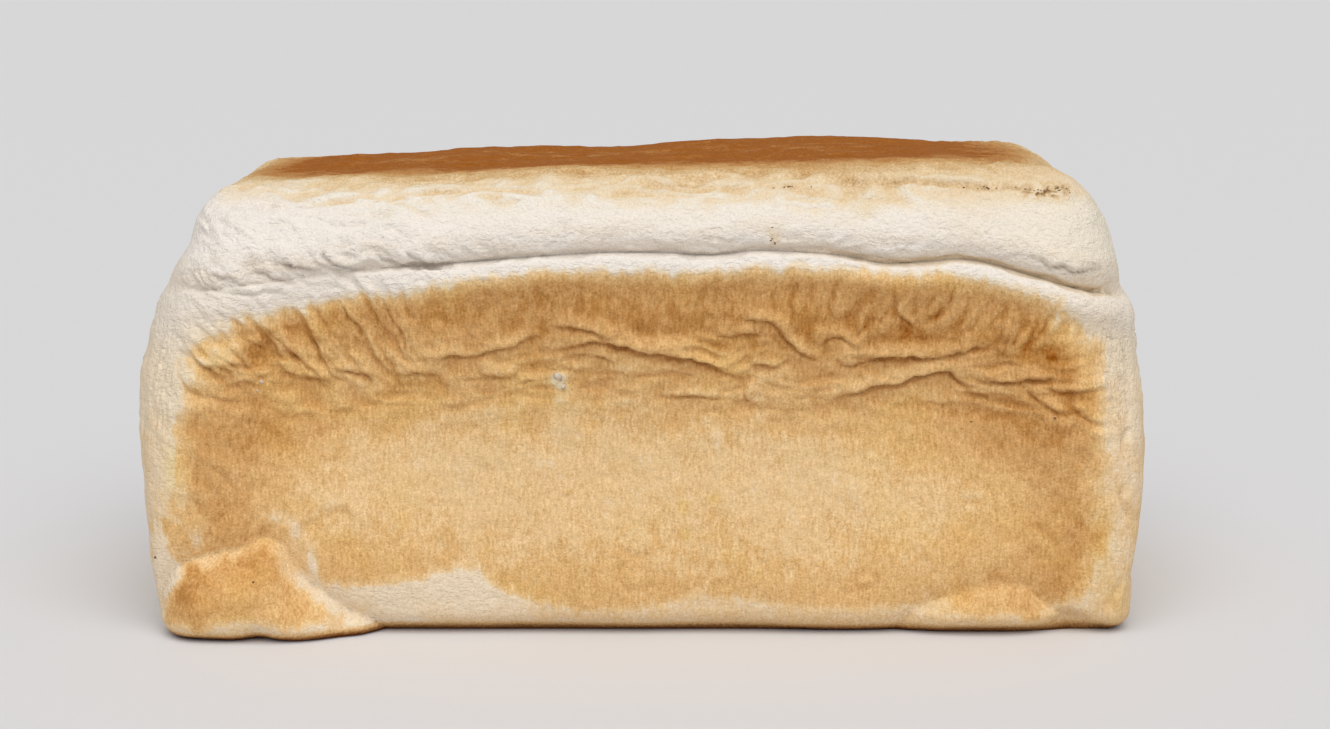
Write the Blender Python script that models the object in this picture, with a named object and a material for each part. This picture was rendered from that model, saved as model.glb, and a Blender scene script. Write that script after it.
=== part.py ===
"""Tin loaf: an uncut white loaf that rose against the lid of its tin, one solid.

Metres, +Z up. X runs along the loaf, and the side with the big corner tuck faces -Y. The origin
lies on the table, under the middle of the loaf's box.
"""

import bmesh
import bpy
import numpy as np

# Driving dimensions.
LENGTH = 0.267  # over the bellies of the two ends
WIDTH = 0.116  # over the rims of the two long sides
HEIGHT = 0.1190  # table to top crust
BASE_EDGE = 0.006  # radius where the walls turn under
SHOULDER = 0.026  # radius where the walls turn into the top crust
MESH_STEP = 0.0015  # spacing of the worked grid
TRIANGLES = 9400  # left of the worked grid in the finished solid
TABLE_SNAP = 0.0001  # points nearer the table than this lie on it

# How far each end has fallen back at each height, as (height, distance).
END_FALL = {
    -1: ((0.000, 0.0082), (0.020, 0.0053), (0.030, 0.0049), (0.042, 0.0042), (0.055, 0.0031),
         (0.070, 0.0027), (0.084, 0.0047), (0.098, 0.0094), (0.105, 0.0128), (0.112, 0.0102),
         (0.120, 0.0066)),
    1: ((0.000, 0.0080), (0.026, 0.0052), (0.055, 0.0027), (0.075, 0.0043), (0.090, 0.0063),
        (0.100, 0.0096), (0.112, 0.0082), (0.120, 0.0062)),
}
SIDE_FALL = ((0.000, 0.0014), (0.020, 0.0004), (0.045, 0.0000), (0.095, 0.0008), (0.120, 0.0010))
TOP_RISE = ((-0.132, -0.0040), (-0.104, -0.0031), (-0.084, -0.0024), (-0.040, -0.0002),
            (0.015, 0.0015), (0.060, 0.0026), (0.100, 0.0013), (0.132, -0.0002))  # of the top crust
TOP_SAG = 0.0009  # dip of the top crust between its edges

# The crease under the pale shoulder roll, as heights along each wall.
CREASE_LEVEL = 0.096
CREASE_HEIGHTS = {
    "front": ((-0.132, 0.0885), (-0.110, 0.0908), (-0.078, 0.0949), (-0.050, 0.0972),
              (-0.034, 0.0984), (-0.010, 0.0998), (0.006, 0.0998), (0.018, 0.0992),
              (0.030, 0.1003), (0.044, 0.0998), (0.054, 0.0990), (0.065, 0.0971),
              (0.076, 0.0975), (0.088, 0.0980), (0.097, 0.0962), (0.106, 0.0937),
              (0.118, 0.0905), (0.132, 0.0870)),
    "back": ((-0.132, 0.0885), (-0.090, 0.0950), (-0.020, 0.0985), (0.050, 0.0972), (0.100, 0.0930),
             (0.132, 0.0885)),
}
CREASE_DEPTH = 0.0042
CREASE_FADE = {"front": (-0.086, -0.038), "back": (0.118, 0.060)}  # from faint to full depth
FAINT_CREASE = 0.15  # share of its depth where it is faint
CREASE_OVER = 0.0085  # reach of the groove into the roll
CREASE_UNDER = 0.0011  # reach of the groove into the wall
ROLL_PUFF = 0.0034
ROLL_RISE = 0.0075  # from the crease up to the fullest part of the roll
ROLL_HANG = 0.0014  # how far the roll hangs over the crease
LIP_PUFF = 0.0024
LIP_DROP = 0.0045  # from the crease down to the fullest part of the lip
END_SHARE = 0.25  # of the crease, roll and lip on the two ends

# The sunken middle of each wall: depth, height of the deepest line, half its length, and the fade
# at its ends.
HOLLOWS = {
    "front": (0.0055, 0.057, 0.098, 0.030),
    "back": (0.0042, 0.050, 0.092, 0.034),
    "left": (0.0022, 0.052, 0.026, 0.024),
    "right": (0.0022, 0.048, 0.026, 0.024),
}
HOLLOW_FOOT = 0.010
HOLLOW_TOP = 0.091

# Tucks, where the dough folded under as it was laid in the tin: wall, outline as (along, height),
# puff, and depth of the crease round it.
TUCKS = (
    ("front", ((-0.1280, -0.016), (-0.1252, 0.0080), (-0.1206, 0.0172), (-0.1150, 0.0202),
               (-0.1085, 0.0220), (-0.1025, 0.0234), (-0.0980, 0.0260), (-0.0932, 0.0240),
               (-0.0900, 0.0186), (-0.0872, 0.0147), (-0.0815, 0.0106), (-0.0760, 0.0062),
               (-0.0690, 0.0020), (-0.0640, -0.016)),
     0.0085, 0.0022),
    ("front", ((0.0620, -0.016), (0.0690, 0.0045), (0.0790, 0.0105), (0.0880, 0.0130),
               (0.0980, 0.0128), (0.1030, 0.0085), (0.1085, 0.0010), (0.1110, -0.016)),
     0.0030, 0.0014),
    ("right", ((-0.0580, -0.016), (-0.0545, 0.0100), (-0.0470, 0.0170), (-0.0390, 0.0150),
               (-0.0300, 0.0040), (-0.0260, -0.016)),
     0.0020, 0.0014),
    ("back", ((0.0540, -0.016), (0.0600, 0.0060), (0.0780, 0.0160), (0.0960, 0.0180),
              (0.1100, 0.0090), (0.1180, -0.016)),
     0.0036, 0.0018),
    ("left", ((-0.0020, -0.016), (0.0050, 0.0080), (0.0180, 0.0150), (0.0330, 0.0110),
              (0.0420, -0.016)),
     0.0034, 0.0016),
)
TUCK_CUTS = 5  # stretches in each side of a tuck's outline once it is rounded
TUCK_RISE = 0.012  # from a tuck's crease to its full puff
TUCK_HEAD = 0.6  # share of its puff at a tuck's top
TUCK_DROP = 0.020  # height below which a tuck has all of its puff
TUCK_REACH = 0.0026  # reach of a tuck's crease to either side
TUCK_UNDER = 0.026  # how far under the loaf a tuck pushes the base out
WALL_SIDES = {"front": -1, "back": 1, "left": -1, "right": 1}

# Where the front wall's table edge stands off the table: a low gap between two places along it,
# and notches beside the small tuck and in the middle of the big one, as (along, half width, height).
BASE_LIFT = 0.0013
BASE_LIFT_ENDS = (-0.068, 0.122)
BASE_LIFT_FADE = 0.014
NOTCHES = ((0.1105, 0.0045, 0.0026), (-0.0985, 0.0040, 0.0018))
NOTCH_TOP = 0.012  # height over which the lift dies away

# Slow unevenness of the whole crust: (height, waves along X, Y and Z in radians a metre, phase).
SWELLS = (
    (0.00035, (47.0, 21.0, 33.0), 0.4),
    (0.00030, (-83.0, 37.0, 58.0), 2.1),
    (0.00020, (128.0, -71.0, 91.0), 4.0),
)

CRUST_COLOUR = (0.62, 0.38, 0.17, 1.0)
CRUST_ROUGHNESS = 0.75


def smooth(t):
    """0 below 0, 1 above 1, and an even S between."""
    t = np.clip(t, 0.0, 1.0)
    return t * t * (3.0 - 2.0 * t)


def band(value, low, high, fade):
    """1 between two values and 0 outside them, fading over a width centred on each."""
    return smooth((value - low) / fade + 0.5) * smooth((high - value) / fade + 0.5)


def through(points, at):
    """Value at each place of a smooth curve through (place, value) points."""
    places, values = np.array(points).T
    slopes = np.gradient(values, places)
    i = np.clip(np.searchsorted(places, at) - 1, 0, len(places) - 2)
    gap = places[i + 1] - places[i]
    t = np.clip((at - places[i]) / gap, 0.0, 1.0)
    start = values[i] * (1 + 2 * t) * (1 - t) ** 2 + slopes[i] * gap * t * (1 - t) ** 2
    end = values[i + 1] * t * t * (3 - 2 * t) + slopes[i + 1] * gap * t * t * (t - 1)
    return start + end


def rounded_outline(outline):
    """A closed outline carried smoothly through its points."""
    here = np.array(outline)
    before, after, beyond = (np.roll(here, shift, axis=0) for shift in (1, -1, -2))
    steps = []
    for t in np.arange(TUCK_CUTS) / TUCK_CUTS:
        bend = 2 * before - 5 * here + 4 * after - beyond
        twist = 3 * (here - after) + beyond - before
        steps.append(here + 0.5 * (t * (after - before) + t * t * bend + t ** 3 * twist))
    return np.stack(steps, axis=1).reshape(-1, 2)


def inside(outline, along, height):
    """Distance from a closed outline to each place on a wall, positive inside it."""
    corners = rounded_outline(outline)
    nearest = np.full(along.shape, np.inf)
    within = np.zeros(along.shape, bool)
    for (a0, h0), (a1, h1) in zip(corners, np.roll(corners, -1, axis=0)):
        run, rise = a1 - a0, h1 - h0
        t = ((along - a0) * run + (height - h0) * rise) / (run * run + rise * rise)
        t = np.clip(t, 0.0, 1.0)
        nearest = np.minimum(nearest, np.hypot(along - a0 - t * run, height - h0 - t * rise))
        if rise:
            crosses = ((h0 > height) != (h1 > height)) & (along < a0 + (height - h0) * run / rise)
            within ^= crosses
    return np.where(within, nearest, -nearest)


def rounded_box(box):
    """Points of a box's surface moved onto the same box with rounded edges, and their directions."""
    height = box[:, 2]
    up = smooth((height - BASE_EDGE) / (HEIGHT - SHOULDER - BASE_EDGE))
    radius = BASE_EDGE + (SHOULDER - BASE_EDGE) * up
    reach = np.stack((LENGTH / 2 - radius, WIDTH / 2 - radius), axis=1)
    core = np.empty_like(box)
    core[:, :2] = np.clip(box[:, :2], -reach, reach)
    core[:, 2] = np.clip(height, BASE_EDGE, HEIGHT - SHOULDER)
    out = box - core
    out /= np.linalg.norm(out, axis=1, keepdims=True)
    return core + radius[:, None] * out, out


def wall_weights(out):
    """How much each wall faces each outward direction, from 0 to 1."""
    return {
        "front": smooth(-out[:, 1]),
        "back": smooth(out[:, 1]),
        "left": smooth(-out[:, 0]),
        "right": smooth(out[:, 0]),
    }


def crease_height(places):
    """Height of the crease all the way round, blended from front to back across each end."""
    share = smooth(places[:, 1] / WIDTH + 0.5)
    front = through(CREASE_HEIGHTS["front"], places[:, 0])
    back = through(CREASE_HEIGHTS["back"], places[:, 0])
    return front + (back - front) * share


def leaned(places):
    """Places moved by the fall of the walls and the rise of the crease and the top crust."""
    x, y, z = places.T
    end_fall = np.where(x < 0, through(END_FALL[-1], z), through(END_FALL[1], z))
    side_fall = through(SIDE_FALL, z)
    rise = crease_height(places) - CREASE_LEVEL
    top_rise = through(TOP_RISE, x) - TOP_SAG * (1.0 - (2 * y / WIDTH) ** 2)
    lifted = np.where(
        z < CREASE_LEVEL,
        rise * z / CREASE_LEVEL,
        rise + (top_rise - rise) * (z - CREASE_LEVEL) / (HEIGHT - CREASE_LEVEL),
    )
    return np.stack(
        (x * (1 - 2 * end_fall / LENGTH), y * (1 - 2 * side_fall / WIDTH), z + lifted), axis=1
    )


def crease_strength(places):
    """Share of the crease's full depth at each place: faint at one corner of each long wall."""
    front, back = (
        FAINT_CREASE + (1 - FAINT_CREASE) * smooth((places[:, 0] - faint) / (full - faint))
        for faint, full in (CREASE_FADE["front"], CREASE_FADE["back"])
    )
    return front + (back - front) * smooth(places[:, 1] / WIDTH + 0.5)


def shoulder_offset(out, places, level):
    """How far the roll, the lip and the crease stand out from the rounded box."""
    drop = places[:, 2] - level
    roll = ROLL_PUFF * smooth(drop / ROLL_RISE) * (1 - smooth(out[:, 2]))
    lip = LIP_PUFF * np.exp(-(((drop + LIP_DROP) / LIP_DROP) ** 2)) * (drop < LIP_DROP)
    into = np.clip(1 - np.abs(drop) / np.where(drop > 0, CREASE_OVER, CREASE_UNDER), 0, 1)
    groove = CREASE_DEPTH * (1 - np.sqrt(1 - into * into))
    level_out = np.hypot(out[:, 0], out[:, 1]).clip(0.01)
    share = END_SHARE + (1 - END_SHARE) * smooth(np.abs(out[:, 1]) / level_out)
    return share * (roll + crease_strength(places) * (lip - groove))


def hollow_offset(places, facing):
    """How far each wall sinks between its rims."""
    offset = np.zeros(len(places))
    for wall, (deepest, line, half, fade) in HOLLOWS.items():
        along = places[:, 0] if wall in ("front", "back") else places[:, 1]
        height = places[:, 2]
        rising = np.where(height < line, (height - HOLLOW_FOOT) / (line - HOLLOW_FOOT),
                          (HOLLOW_TOP - height) / (HOLLOW_TOP - line))
        length_share = smooth((half + fade / 2 - np.abs(along)) / fade)
        offset -= deepest * smooth(rising) * length_share * facing[wall]
    return offset


def tuck_moves(box, places, facing):
    """How far, and which way, the folded-under tucks stand out, with the crease round each."""
    moves = np.zeros_like(places)
    for wall, outline, puff, depth in TUCKS:
        side = WALL_SIDES[wall]
        across = 1 if wall in ("front", "back") else 0
        along = places[:, 1 - across]
        half = (LENGTH, WIDTH)[across] / 2
        under = smooth(1 - (half - side * box[:, across]) / TUCK_UNDER) * (box[:, 2] < BASE_EDGE)
        depth_in = inside(outline, along, places[:, 2])
        rise = np.clip(depth_in / TUCK_RISE, 0, 1)
        pillow = (np.sqrt(1 - (1 - rise) ** 2) + smooth(rise)) / 2
        hang = TUCK_HEAD + (1 - TUCK_HEAD) * smooth(2 - places[:, 2] / TUCK_DROP)
        swell = puff * pillow * hang * np.maximum(facing[wall], under)
        crease = depth * np.exp(-np.abs(depth_in) / TUCK_REACH) * facing[wall]
        moves[:, across] += side * (swell - crease)
    return moves


def swell_offset(places):
    """Slow unevenness of the crust."""
    return sum(size * np.sin(places @ np.array(waves) + phase) for size, waves, phase in SWELLS)


def roll_hang(places, out, level):
    """How far the roll hangs down over the crease on the two long walls."""
    over = np.clip(2 * (places[:, 2] - level) / CREASE_OVER, 0, None)
    hang = ROLL_HANG * over * np.exp(1 - over)
    return hang * crease_strength(places) * smooth(2 * np.abs(out[:, 1]) - 0.6)


def base_lift(places, out):
    """How far the table edge of the front wall stands off the table."""
    lift = BASE_LIFT * band(places[:, 0], *BASE_LIFT_ENDS, BASE_LIFT_FADE)
    for along, half_width, height in NOTCHES:
        lift += height * np.exp(-(((places[:, 0] - along) / half_width) ** 2))
    return lift * smooth(-2 * out[:, 1]) * smooth(1 - places[:, 2] / NOTCH_TOP)


def loaf_places(box):
    """Points of the box's surface moved onto the crust."""
    rounded, out = rounded_box(box)
    facing = wall_weights(out)
    places = leaned(rounded)
    wall_share = 1 - smooth((np.abs(out[:, 2]) - 0.35) / 0.6)
    level = crease_height(rounded)
    side = shoulder_offset(out, places, level) * (1 - smooth(-out[:, 2]))
    offset = side + hollow_offset(places, facing) * wall_share + swell_offset(places)
    moved = places + offset[:, None] * out + tuck_moves(box, places, facing)
    moved[:, 2] -= roll_hang(places, out, level)
    moved[:, 2] += base_lift(moved, out)
    on_table = box[:, 2] <= 0
    moved[:, 2] = np.where(on_table & (np.abs(out[:, 2]) > 0.999), 0.0, np.maximum(moved[:, 2], 0.0))
    return moved


def worked_cube():
    """A cube cut into an even grid of about MESH_STEP in all three directions."""
    bm = bmesh.new()
    bmesh.ops.create_cube(bm, size=2)
    for axis, size in enumerate((LENGTH, WIDTH, HEIGHT)):
        along = [e for e in bm.edges if abs((e.verts[0].co - e.verts[1].co)[axis]) > 1]
        bmesh.ops.subdivide_edges(bm, edges=along, cuts=round(size / MESH_STEP) - 1, use_grid_fill=True)
    return bm


def thinned(mesh):
    """A copy of a mesh thinned to TRIANGLES, with its table edge put back on the table."""
    worked = bpy.data.objects.new("worked", mesh)
    bpy.context.scene.collection.objects.link(worked)
    thin = worked.modifiers.new("thin", "DECIMATE")
    thin.ratio = TRIANGLES / len(mesh.polygons)
    graph = bpy.context.evaluated_depsgraph_get()
    thin_mesh = bpy.data.meshes.new_from_object(worked.evaluated_get(graph))
    bpy.data.objects.remove(worked)
    for vert in thin_mesh.vertices:
        if vert.co.z < TABLE_SNAP:
            vert.co.z = 0.0
    return thin_mesh


def make_loaf(collection, material):
    """The loaf's one solid, shaped from the worked cube and then thinned to its share of triangles."""
    bm = worked_cube()
    unit = np.array([v.co[:] for v in bm.verts])
    box = unit * (LENGTH / 2, WIDTH / 2, HEIGHT / 2) + (0, 0, HEIGHT / 2)
    places = loaf_places(box)
    lowest, highest = places.min(axis=0), places.max(axis=0)
    places -= ((lowest[0] + highest[0]) / 2, (lowest[1] + highest[1]) / 2, lowest[2])
    for vert, place in zip(bm.verts, places):
        vert.co = place
    bmesh.ops.recalc_face_normals(bm, faces=bm.faces)
    bmesh.ops.triangulate(bm, faces=bm.faces)
    worked = bpy.data.meshes.new("worked")
    bm.to_mesh(worked)
    bm.free()
    mesh = thinned(worked)
    mesh.name = "loaf"
    mesh.materials.append(material)
    mesh.shade_smooth()
    loaf = bpy.data.objects.new("loaf", mesh)
    collection.objects.link(loaf)
    return loaf


def crust_material():
    """Baked white crust."""
    material = bpy.data.materials.new("crust")
    material.use_nodes = True
    shader = material.node_tree.nodes["Principled BSDF"]
    shader.inputs["Base Color"].default_value = CRUST_COLOUR
    shader.inputs["Roughness"].default_value = CRUST_ROUGHNESS
    shader.inputs["Metallic"].default_value = 0.0
    return material


def main():
    for old in list(bpy.data.objects):
        bpy.data.objects.remove(old)
    collection = bpy.data.collections.new("tin_loaf")
    bpy.context.scene.collection.children.link(collection)
    make_loaf(collection, crust_material())


main()
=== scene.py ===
"""The looks of the tin loaf: browned sunken walls, a pale rolled shoulder over its crease, a deep brown top.

Metres, +Z up. X runs along the loaf, and the wall with the big corner tuck faces -Y.
"""

import itertools
import logging
import math
import random
from collections.abc import Callable, Sequence
from dataclasses import dataclass, field, replace
from enum import Enum

import bmesh
import bpy
import numpy as np
from mathutils import Matrix, Vector
from mathutils.bvhtree import BVHTree


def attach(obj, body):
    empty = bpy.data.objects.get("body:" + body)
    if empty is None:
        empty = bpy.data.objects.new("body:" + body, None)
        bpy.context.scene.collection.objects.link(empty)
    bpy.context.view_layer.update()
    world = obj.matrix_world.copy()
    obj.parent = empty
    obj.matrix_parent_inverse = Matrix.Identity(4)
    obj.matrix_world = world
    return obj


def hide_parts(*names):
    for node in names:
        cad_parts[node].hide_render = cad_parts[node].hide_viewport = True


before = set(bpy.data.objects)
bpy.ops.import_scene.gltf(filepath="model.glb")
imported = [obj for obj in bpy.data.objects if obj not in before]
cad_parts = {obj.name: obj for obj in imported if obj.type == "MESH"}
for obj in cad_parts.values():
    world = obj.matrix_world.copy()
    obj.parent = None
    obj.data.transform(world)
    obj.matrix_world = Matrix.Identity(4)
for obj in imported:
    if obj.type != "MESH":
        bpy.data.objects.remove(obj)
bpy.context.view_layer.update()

LOG = logging.getLogger("tin_loaf")

Array = np.ndarray
Route = Sequence[tuple[float, float]]
Triple = tuple[float, float, float]

MM = 0.001
CELL_PRIMES = np.array((374761393, 668265263, 2147483647))
MIX_PRIME = 1274126177
LOW_16, LOW_32 = 0xFFFF, 0xFFFFFFFF


class Wall(Enum):
    """The four walls of the loaf: the axis each looks along, and the way it looks."""

    FRONT = (1, -1)
    BACK = (1, 1)
    LEFT = (0, -1)
    RIGHT = (0, 1)

    @property
    def axis(self) -> int:
        """The axis the wall looks along."""
        return self.value[0]

    @property
    def side(self) -> int:
        """The way the wall looks along its axis."""
        return self.value[1]

    def facing(self, out: Array, gain: float = 1.0) -> Array:
        """How much outward directions face as the wall does, from 0 to 1, or to 1 the sooner with a gain."""
        return smooth(gain * self.side * out[:, self.axis])

    def along(self, places: Array) -> Array:
        """Distances along the wall."""
        return places[:, 1 - self.axis]


def smooth(t: Array) -> Array:
    """0 below 0, 1 above 1, and an even S between."""
    t = np.clip(t, 0.0, 1.0)
    return t * t * (3.0 - 2.0 * t)


def eased(value: Array, zero: float, one: float) -> Array:
    """0 up to one value and 1 from another on, with an even S between."""
    return smooth((value - zero) / (one - zero))


def bell(value: Array, middle: float, half: float) -> Array:
    """1 at a middle value, falling off evenly to both sides over a half width."""
    return np.exp(-(((value - middle) / half) ** 2))


def metres(*points: tuple[float, float]) -> Route:
    """Points given in millimetres."""
    return tuple((a * MM, b * MM) for a, b in points)


def band(value: Array, low: float, high: float, fade: float) -> Array:
    """1 between two values and 0 outside them, fading over a width centred on each."""
    return smooth((value - low) / fade + 0.5) * smooth((high - value) / fade + 0.5)


def through(points: Route, at: Array) -> Array:
    """Value at each place of a smooth curve through points.

    Args:
        points: The curve's points, as (place, value), in order of place.
        at: The places asked for.

    Returns:
        The curve's value at each place.
    """
    places, values = np.array(points).T
    slopes = np.gradient(values, places)
    i = np.clip(np.searchsorted(places, at) - 1, 0, len(places) - 2)
    gap = places[i + 1] - places[i]
    t = np.clip((at - places[i]) / gap, 0.0, 1.0)
    start = values[i] * (1 + 2 * t) * (1 - t) ** 2 + slopes[i] * gap * t * (1 - t) ** 2
    end = values[i + 1] * t * t * (3 - 2 * t) + slopes[i + 1] * gap * t * t * (t - 1)
    return start + end


def curved(points: Route, cuts: int, closed: bool = False) -> Array:
    """A line carried smoothly through points.

    Args:
        points: The points, as (along, height).
        cuts: Stretches the line is given between two points.
        closed: Whether the line runs back to its first point.

    Returns:
        The points of the smooth line.
    """
    here = np.array(points, float)
    if not closed:
        here = np.vstack((2 * here[:1] - here[1:2], here, 2 * here[-1:] - here[-2:-1]))
    before, after, beyond = (np.roll(here, shift, axis=0) for shift in (1, -1, -2))
    steps = []
    for t in np.arange(cuts) / cuts:
        bend = 2 * before - 5 * here + 4 * after - beyond
        twist = 3 * (here - after) + beyond - before
        steps.append(here + 0.5 * (t * (after - before) + t * t * bend + t**3 * twist))
    line = np.stack(steps, axis=1).reshape(-1, 2)
    return line if closed else line[cuts : -2 * cuts + 1]


def inside(outline: Route, along: Array, height: Array) -> Array:
    """Distance from a closed outline to each place on a wall, positive inside it.

    Args:
        outline: The outline's points, as (along, height).
        along: The places' distances along the wall.
        height: The places' heights.

    Returns:
        The distances.
    """
    corners = curved(outline, 5, closed=True)
    nearest = np.full(along.shape, np.inf)
    within = np.zeros(along.shape, bool)
    for (a0, h0), (a1, h1) in zip(corners, np.roll(corners, -1, axis=0)):
        run, rise = a1 - a0, h1 - h0
        t = ((along - a0) * run + (height - h0) * rise) / (run * run + rise * rise)
        t = np.clip(t, 0.0, 1.0)
        nearest = np.minimum(nearest, np.hypot(along - a0 - t * run, height - h0 - t * rise))
        if rise:
            within ^= ((h0 > height) != (h1 > height)) & (along < a0 + (height - h0) * run / rise)
    return np.where(within, nearest, -nearest)


@dataclass(frozen=True)
class Unevenness:
    """Smooth random unevenness in space, the same on every run.

    Attributes:
        seed: Picks one pattern.
        size: How far apart its bumps are, the same or one for each axis.
        layers: Number of its layers, each twice as fine as the one before and half as strong.
        height: How strong it is.
    """

    seed: int
    size: float | Triple
    layers: int = 1
    height: float = 1.0

    def at(self, places: Array) -> Array:
        """Its value at each place, from about its height below 0 to its height above it."""
        size = np.array(self.size)
        layers = (self.layer(places, self.seed + 11 * i, size / 2**i) / 2**i for i in range(self.layers))
        return self.height * sum(layers)

    def layer(self, places: Array, seed: int, size: Array) -> Array:
        """One layer of it.

        Args:
            places: Points in the unit of its size.
            seed: Picks the layer's pattern.
            size: How far apart its bumps are.

        Returns:
            Values from about -1 to 1.
        """
        cells = places / size + 37.0 + 5.3 * seed
        low = np.floor(cells)
        into = cells - low
        ease = into**3 * (into * (into * 6 - 15) + 10)
        total = np.zeros(len(places))
        for corner in itertools.product((0, 1), repeat=3):
            mixed = (low + corner).astype(np.int64) @ CELL_PRIMES
            mixed = (mixed + seed * MIX_PRIME) & LOW_32
            mixed = ((mixed ^ (mixed >> 13)) * MIX_PRIME) & LOW_32
            mixed = mixed ^ (mixed >> 16)
            turn = (mixed & LOW_16) / LOW_16 * 2 * math.pi
            lift = ((mixed >> 16) & LOW_16) / LOW_16 * 2 - 1
            flat = np.sqrt(1 - lift * lift)
            step = into - corner
            slope = step[:, 0] * flat * np.cos(turn) + step[:, 1] * flat * np.sin(turn) + step[:, 2] * lift
            total += np.prod(np.where(corner, ease, 1 - ease), axis=1) * slope
        return total * 1.6


def summed(layers: Sequence[Unevenness], places: Array) -> Array:
    """The sum of several kinds of unevenness at each place."""
    return sum(layer.at(places) for layer in layers)


@dataclass(frozen=True)
class Tuck:
    """A corner of dough folded under as it was laid in the tin.

    Attributes:
        wall: The wall it shows on.
        outline: Its edge on the wall, as (along, height).
        puff: How far it stands out.
        depth: How deep the crease round it is.
    """

    wall: Wall
    outline: Route
    puff: float
    depth: float


@dataclass(frozen=True)
class LoafForm:
    """The loaf's whole form without its fine wrinkles, as the solid has it."""

    length: float = 0.267
    width: float = 0.116
    height: float = 0.1190
    base_edge: float = 0.006
    shoulder: float = 0.026
    end_falls: dict[int, Route] = field(
        default_factory=lambda: {
            -1: metres(
                (0, 8.2), (20, 5.3), (30, 4.9), (42, 4.2), (55, 3.1), (70, 2.7), (84, 4.7), (98, 9.4),
                (105, 12.8), (112, 10.2), (120, 6.6),
            ),
            1: metres(
                (0, 8), (26, 5.2), (55, 2.7), (75, 4.3), (90, 6.3), (100, 9.6), (112, 8.2), (120, 6.2),
            ),
        }
    )
    side_fall: Route = metres((0, 1.4), (20, 0.4), (45, 0), (95, 0.8), (120, 1))
    top_rise: Route = metres(
        (-132, -4), (-104, -3.1), (-84, -2.4), (-40, -0.2), (15, 1.5), (60, 2.6), (100, 1.3), (132, -0.2),
    )
    top_sag: float = 0.0009
    crease_level: float = 0.096
    front_crease: Route = metres(
        (-132, 88.5), (-110, 90.8), (-78, 94.9), (-50, 97.2), (-34, 98.4), (-10, 99.8), (6, 99.8),
        (18, 99.2), (30, 100.3), (44, 99.8), (54, 99), (65, 97.1), (76, 97.5), (88, 98), (97, 96.2),
        (106, 93.7), (118, 90.5), (132, 87),
    )
    back_crease: Route = metres((-132, 88.5), (-90, 95), (-20, 98.5), (50, 97.2), (100, 93), (132, 88.5))
    crease_depth: float = 0.0042
    crease_fades: tuple[tuple[float, float], ...] = ((-0.086, -0.038), (0.118, 0.060))
    faint_crease: float = 0.15
    crease_over: float = 0.0085
    crease_under: float = 0.0011
    roll_puff: float = 0.0034
    roll_rise: float = 0.0075
    roll_hang: float = 0.0014
    lip_puff: float = 0.0024
    lip_drop: float = 0.0045
    end_share: float = 0.25
    hollows: dict[Wall, tuple[float, float, float, float]] = field(
        default_factory=lambda: {
            Wall.FRONT: (0.0055, 0.057, 0.098, 0.030),
            Wall.BACK: (0.0042, 0.050, 0.092, 0.034),
            Wall.LEFT: (0.0022, 0.052, 0.026, 0.024),
            Wall.RIGHT: (0.0022, 0.048, 0.026, 0.024),
        }
    )
    hollow_foot: float = 0.010
    hollow_top: float = 0.091
    tucks: tuple[Tuck, ...] = (
        Tuck(Wall.FRONT, metres(
            (-128, -16), (-125.2, 8), (-120.6, 17.2), (-115, 20.2), (-108.5, 22), (-102.5, 23.4), (-98, 26),
            (-93.2, 24), (-90, 18.6), (-87.2, 14.7), (-81.5, 10.6), (-76, 6.2), (-69, 2), (-64, -16),
        ), 0.0085, 0.0022),
        Tuck(Wall.FRONT, metres(
            (62, -16), (69, 4.5), (79, 10.5), (88, 13), (98, 12.8), (103, 8.5), (108.5, 1), (111, -16),
        ), 0.003, 0.0014),
        Tuck(Wall.RIGHT, metres(
            (-58, -16), (-54.5, 10), (-47, 17), (-39, 15), (-30, 4), (-26, -16),
        ), 0.002, 0.0014),
        Tuck(Wall.BACK, metres(
            (54, -16), (60, 6), (78, 16), (96, 18), (110, 9), (118, -16),
        ), 0.0036, 0.0018),
        Tuck(Wall.LEFT, metres((-2, -16), (5, 8), (18, 15), (33, 11), (42, -16)), 0.0034, 0.0016),
    )
    tuck_rise: float = 0.012
    tuck_head: float = 0.6
    tuck_drop: float = 0.020
    tuck_reach: float = 0.0026
    tuck_under: float = 0.026
    notches: tuple[Triple, ...] = ((0.1105, 0.0045, 0.0026), (-0.0985, 0.0040, 0.0018))
    notch_top: float = 0.012
    base_lift: float = 0.0013
    base_lift_ends: tuple[float, float] = (-0.068, 0.122)
    swells: tuple[tuple[float, Triple, float], ...] = (
        (0.00035, (47.0, 21.0, 33.0), 0.4),
        (0.00030, (-83.0, 37.0, 58.0), 2.1),
        (0.00020, (128.0, -71.0, 91.0), 4.0),
    )

    def core(self, box: Array) -> tuple[Array, Array]:
        """Where the box's rounded edges turn about.

        Args:
            box: Points on the surface of the loaf's plain box.

        Returns:
            The point that each turns about, and its radius.
        """
        height = box[:, 2]
        up = smooth((height - self.base_edge) / (self.height - self.shoulder - self.base_edge))
        radius = self.base_edge + (self.shoulder - self.base_edge) * up
        reach = np.stack((self.length / 2 - radius, self.width / 2 - radius), axis=1)
        core = np.empty_like(box)
        core[:, :2] = np.clip(box[:, :2], -reach, reach)
        core[:, 2] = np.clip(height, self.base_edge, self.height - self.shoulder)
        return core, radius

    def rounded_box(self, box: Array) -> tuple[Array, Array]:
        """The plain box with rounded edges.

        Args:
            box: Points on the surface of the plain box.

        Returns:
            The points moved onto the rounded box, and their outward directions.
        """
        core, radius = self.core(box)
        out = box - core
        out /= np.linalg.norm(out, axis=1, keepdims=True)
        return core + radius[:, None] * out, out

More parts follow.
